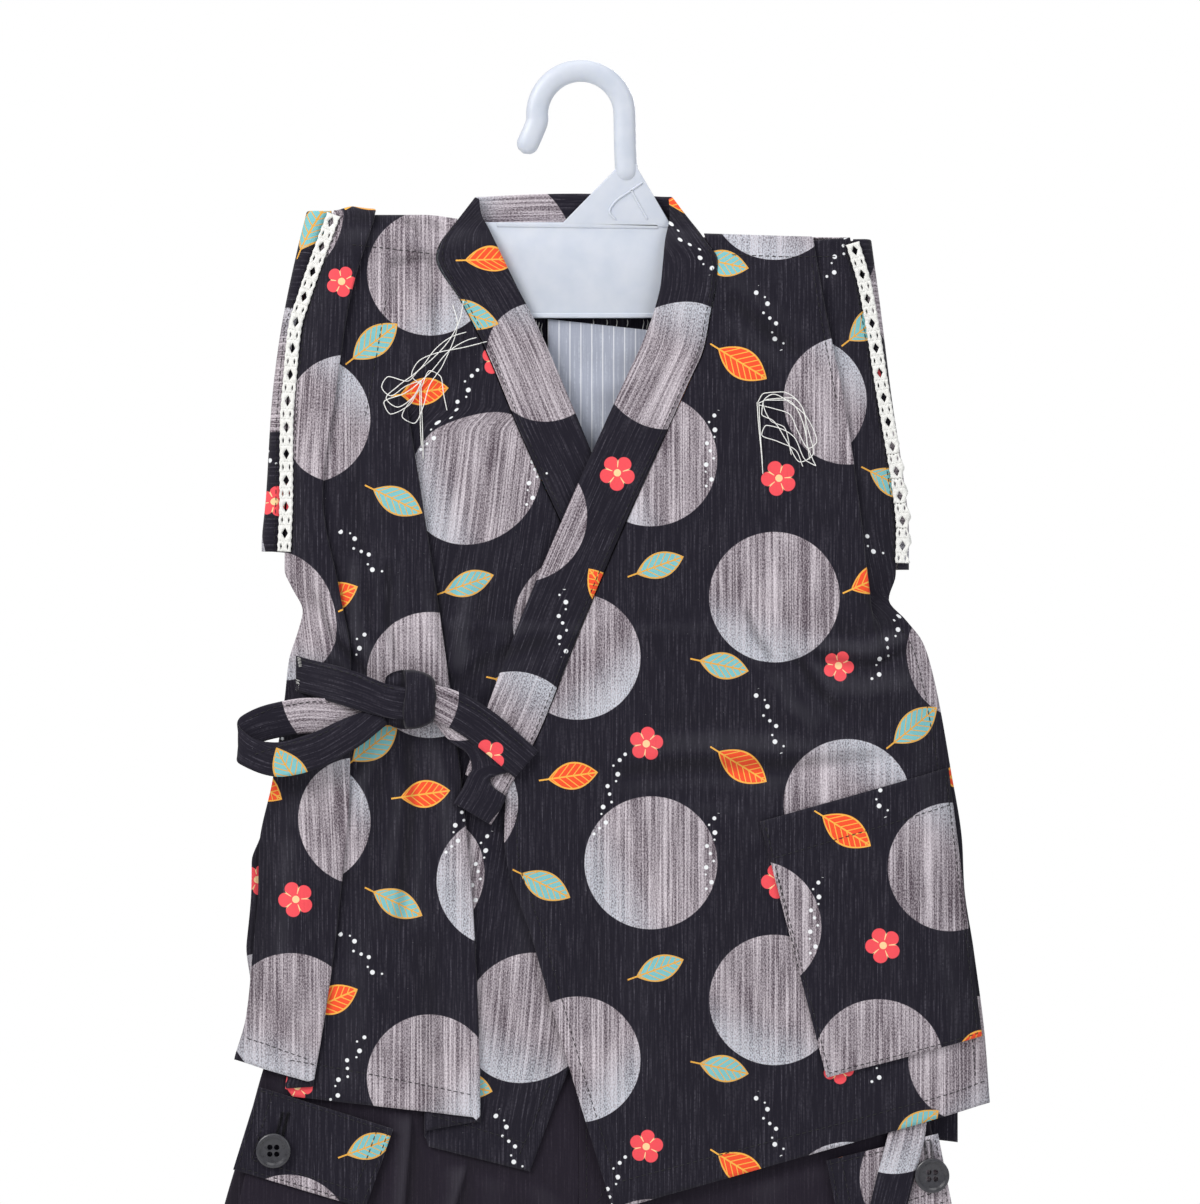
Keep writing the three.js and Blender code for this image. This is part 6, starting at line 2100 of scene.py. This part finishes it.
@dataclass
class Tacking:
    """The white tacking threads on the chest, the bartacks and the buttonholes.

    A thread's rows are x, z and how far it stands off the cloth.
    """

    pieces: dict[str, Piece]
    radius: float = 0.2
    fine_radius: float = 0.17
    tack_swings: int = 12
    tack_swing: float = 0.7
    hole_swing: float = 0.75
    hole_half: float = 1.25  # from a buttonhole's middle to each row of stitches
    hole_pitch: float = 0.45
    threads: tuple[Route, ...] = (
        ((-69.9, -131.3, 0.1), (-69.6, -142, 0.5), (-69.2, -154, 0.4), (-68.9, -165.5, 0.1)),
        ((-70.4, -131, 0.1), (-70.3, -146, 0.6), (-69.7, -160, 0.2)),
        ((-69.9, -131.3, 0.3), (-76, -133.5, 1.2), (-83, -138, 1.5), (-87, -134, 1.2), (-84, -129.6, 1.4),
         (-76, -131.6, 2), (-71, -127, 1.8), (-64, -121, 2.2), (-57, -113, 2.4), (-52.4, -103, 1.8),
         (-51.3, -96.3, 0.5)),
        ((-69.5, -131.6, 0.3), (-73, -138, 1.5), (-80, -143, 1.8), (-85, -139, 1.2), (-80, -134, 2),
         (-70, -126, 2.6), (-63, -117, 2.4), (-56, -112, 2), (-50, -110, 0.6)),
        ((-69.8, -132.5, 0.3), (-75, -142, 1.4), (-83, -146, 1.6), (-86, -141, 1.2), (-77, -137, 2.2),
         (-66, -128, 2.6), (-57, -118, 2.2), (-49, -113.4, 1.4), (-45.5, -112.4, 0.5)),
        ((-70, -133, 0.3), (-74, -129, 1.4), (-71, -123, 1.8), (-62, -119, 2.2), (-52, -117, 1.8),
         (-41, -114.2, 0.5)),
        ((-69.6, -134, 0.3), (-66, -127, 1.2), (-61, -130, 1.5), (-60, -137, 1.2), (-58.5, -144.4, 0.4)),
        ((-69.8, -134, 0.2), (-78, -147, 1.4), (-73, -150, 1.6), (-69, -143, 1.4), (-66.4, -134, 1.6),
         (-60, -124, 2), (-54, -106, 1.4), (-56, -98, 0.4)),
        ((77, -140.8, 0.1), (77.6, -150, 0.5), (78.8, -162, 0.4), (79.6, -172.2, 0.1)),
        ((77.8, -140.6, 0.1), (78.4, -154, 0.6), (79.4, -168, 0.2)),
        ((77.2, -141, 0.3), (80, -137, 1.4), (88, -136.4, 1.8), (96, -142, 1.8), (99, -152, 1.6),
         (101.6, -163, 1.2), (96, -167, 1.4), (90, -158, 2), (84, -149, 2.2), (79, -146, 1.6),
         (80, -140, 1.8), (90, -140, 2.4), (97, -150, 2.2), (100, -166, 0.8)),
        ((77.4, -141.4, 0.3), (82, -139.6, 1.6), (92, -139, 2.2), (98, -147, 2.2), (98.6, -158, 1.8),
         (102.6, -168.6, 1.2), (98, -166, 1.6), (93, -156, 2.2), (86, -152, 2.2), (81, -151, 1.8),
         (79, -155, 1.4), (86, -158, 1.6), (94, -162, 1.4), (97, -169, 0.5)),
        ((77.6, -142, 0.3), (84, -143.6, 1.6), (91, -146, 1.8), (95, -154, 1.8), (99.6, -161, 1.4),
         (103, -158, 1), (99, -148, 1.8), (92, -141.6, 2.4), (84, -137.4, 2), (79.6, -141, 1.4),
         (83, -149, 1.6), (89, -152, 1.6), (92, -164, 0.6)),
    )
    snips: Route = (  # x, and the z of each end
        (-19.9, -104.4, -107.5), (-18.6, -105, -110), (-17.2, -105.5, -116), (5.3, -104, -106.2),
        (11.3, -104, -106.4), (15.6, -104, -107.2), (20.3, -104, -107), (27.4, -104, -109),
        (29.2, -104, -108),
    )
    bartacks: Route = ((-123.2, -252.4, -122.6, -256.4), (-123.6, -262, -124.2, -266.4))
    buttonholes: dict[str, tuple[float, ...]] = field(default_factory=lambda: {
        "pocket_flap_right": (-129, -451, -132, -462.4), "pocket_flap_left": (151.6, -463.4, 152.6, -473),
    })

    def build(self) -> None:
        """Lays the threads, bartacks and buttonholes."""
        under = ("front_left", "front_right", "tie_strap", "neckband_right")
        cloth = tree_of([self.pieces[name] for name in under])
        paths = [self._laid(cloth, along_route(thread, 14 * len(thread), 2)) for thread in self.threads]
        swings = (self.tack_swings, 0, self.tack_swing)
        paths += [self._laid(cloth, self._zigzag(ends, *swings)) for ends in self.bartacks]
        within = tree_of([self.pieces["back"], self.pieces["neck_facing"]])
        for x, top, bottom in self.snips:
            rows = [(x + 0.3 * math.sin(z), z, -0.1) for z in np.linspace(top, bottom, 5)]
            paths.append(self._laid(within, np.array(rows)))
        sew("tacking_threads", paths, self.radius, Finish.WHITE_THREAD, 6)
        paths = []
        for name, ends in self.buttonholes.items():
            flap, count = tree_of([self.pieces[name]]), 2 * round(abs(ends[3] - ends[1]) / self.hole_pitch)
            for side in (-self.hole_half, self.hole_half):
                paths.append(self._laid(flap, self._zigzag(ends, count, side, self.hole_swing)))
        sew("buttonhole_stitches", paths, self.fine_radius, Finish.BLACK_THREAD)

    @staticmethod
    def _zigzag(ends: Sequence[float], count: int, side: float, swing: float) -> Array:
        """A thread that swings from side to side along a line.

        Args:
            ends: The line's x and z at both ends.
            count: How many swings.
            side: How far beside the line it runs.
            swing: How far it swings.
        Returns:
            Rows of x, z and the height over the cloth.
        """
        x0, z0, x1, z1 = ends
        shares = [i / count for i in range(count + 1)]
        swings = [swing if i % 2 else -swing for i in range(count + 1)]
        return np.array([(mix(x0, x1, a) + side + b, mix(z0, z1, a), 0.12) for a, b in zip(shares, swings)])

    @staticmethod
    def _laid(cloth: BVHTree, rows: Array) -> Array:
        """Points of x, z and height set over the cloth.

        Args:
            cloth: The cloth's surface.
            rows: The points.
        Returns:
            Points of x, y and z, in mm.
        """
        path = []
        for x, z, off in rows:
            hit = cloth.ray_cast(Vector((x * MM, -0.1, z * MM)), Vector((0, 1, 0)))[0]
            path.append((x, (hit.y / MM if hit else -8.0) - 0.25 - off, z))
        return np.array(path)


@dataclass
class Studio:
    """A pale floor, soft lights and the camera."""

    view_width: float = 0.528
    centre: tuple[float, float] = (0.0084, -0.2281)
    distance: float = 2.1
    floor_z: float = -0.70

    def build(self) -> None:
        """Sets the floor, the lights, the world and the camera."""
        bpy.ops.mesh.primitive_circle_add(vertices=96, radius=1.4, fill_type="NGON")
        floor = bpy.context.object
        floor.name = floor.data.name = "studio_floor"
        floor.data.transform(Matrix.Translation((0, 0, self.floor_z)))
        floor.data.materials.append(material_of(Finish.FLOOR))
        for name, place, size, power, colour in (  # in metres and watts
            ("key", (-1.25, -1.15, 0.75), 0.9, 27.0, (1.0, 0.985, 0.96)),
            ("fill", (1.25, -1.4, 0.1), 1.3, 9.0, (0.96, 0.98, 1.0)),
            ("top", (0.1, -0.35, 1.1), 0.9, 7.0, (1.0, 1.0, 1.0)),
            ("back", (0.5, 1.5, 0.6), 1.2, 20.0, (1.0, 1.0, 1.0)),
        ):
            light = bpy.data.lights.new(name, "AREA")
            light.size, light.energy, light.color = size, power, colour
            lamp = bpy.data.objects.new(name, light)
            bpy.context.scene.collection.objects.link(lamp)
            lamp.location = place
            aim = Vector((0.01, 0, -0.26)) - Vector(place)
            lamp.rotation_mode = "QUATERNION"
            lamp.rotation_quaternion = aim.to_track_quat("-Z", "Y")
        world = bpy.data.worlds.new("studio")
        bpy.context.scene.world = world
        world.use_nodes = True
        shader = Shader(world.node_tree)
        seen = shader.node("LightPath", out="Is Camera Ray")
        strength = shader.node("MapRange", seen, 0.0, 1.0, 0.34, 1.0)
        background = world.node_tree.nodes["Background"]
        shader.fill(background, {"Color": (1.0, 1.0, 1.0, 1.0), "Strength": strength})
        data = bpy.data.cameras.new("camera")
        data.sensor_width = 36.0
        data.lens = 36.0 * self.distance / self.view_width
        camera = bpy.data.objects.new("camera", data)
        bpy.context.scene.collection.objects.link(camera)
        camera.location = (self.centre[0], -self.distance, self.centre[1])
        camera.rotation_euler = (math.pi / 2, 0, 0)
        bpy.context.scene.camera = camera
        bpy.context.scene.view_settings.view_transform = "Standard"


def main() -> None:
    """Builds the scene."""
    logging.basicConfig(level=logging.INFO, format="%(name)s %(message)s")
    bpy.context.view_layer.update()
    Studio().build()
    pieces = {"hanger": Hanger().build()}
    pieces |= WrapTop().build()
    pieces |= Shorts().build()
    pieces |= Ties().build()
    pieces |= Lace().build()
    Sewing(pieces).build()
    Tacking(pieces).build()


if __name__ == "__main__":
    main()
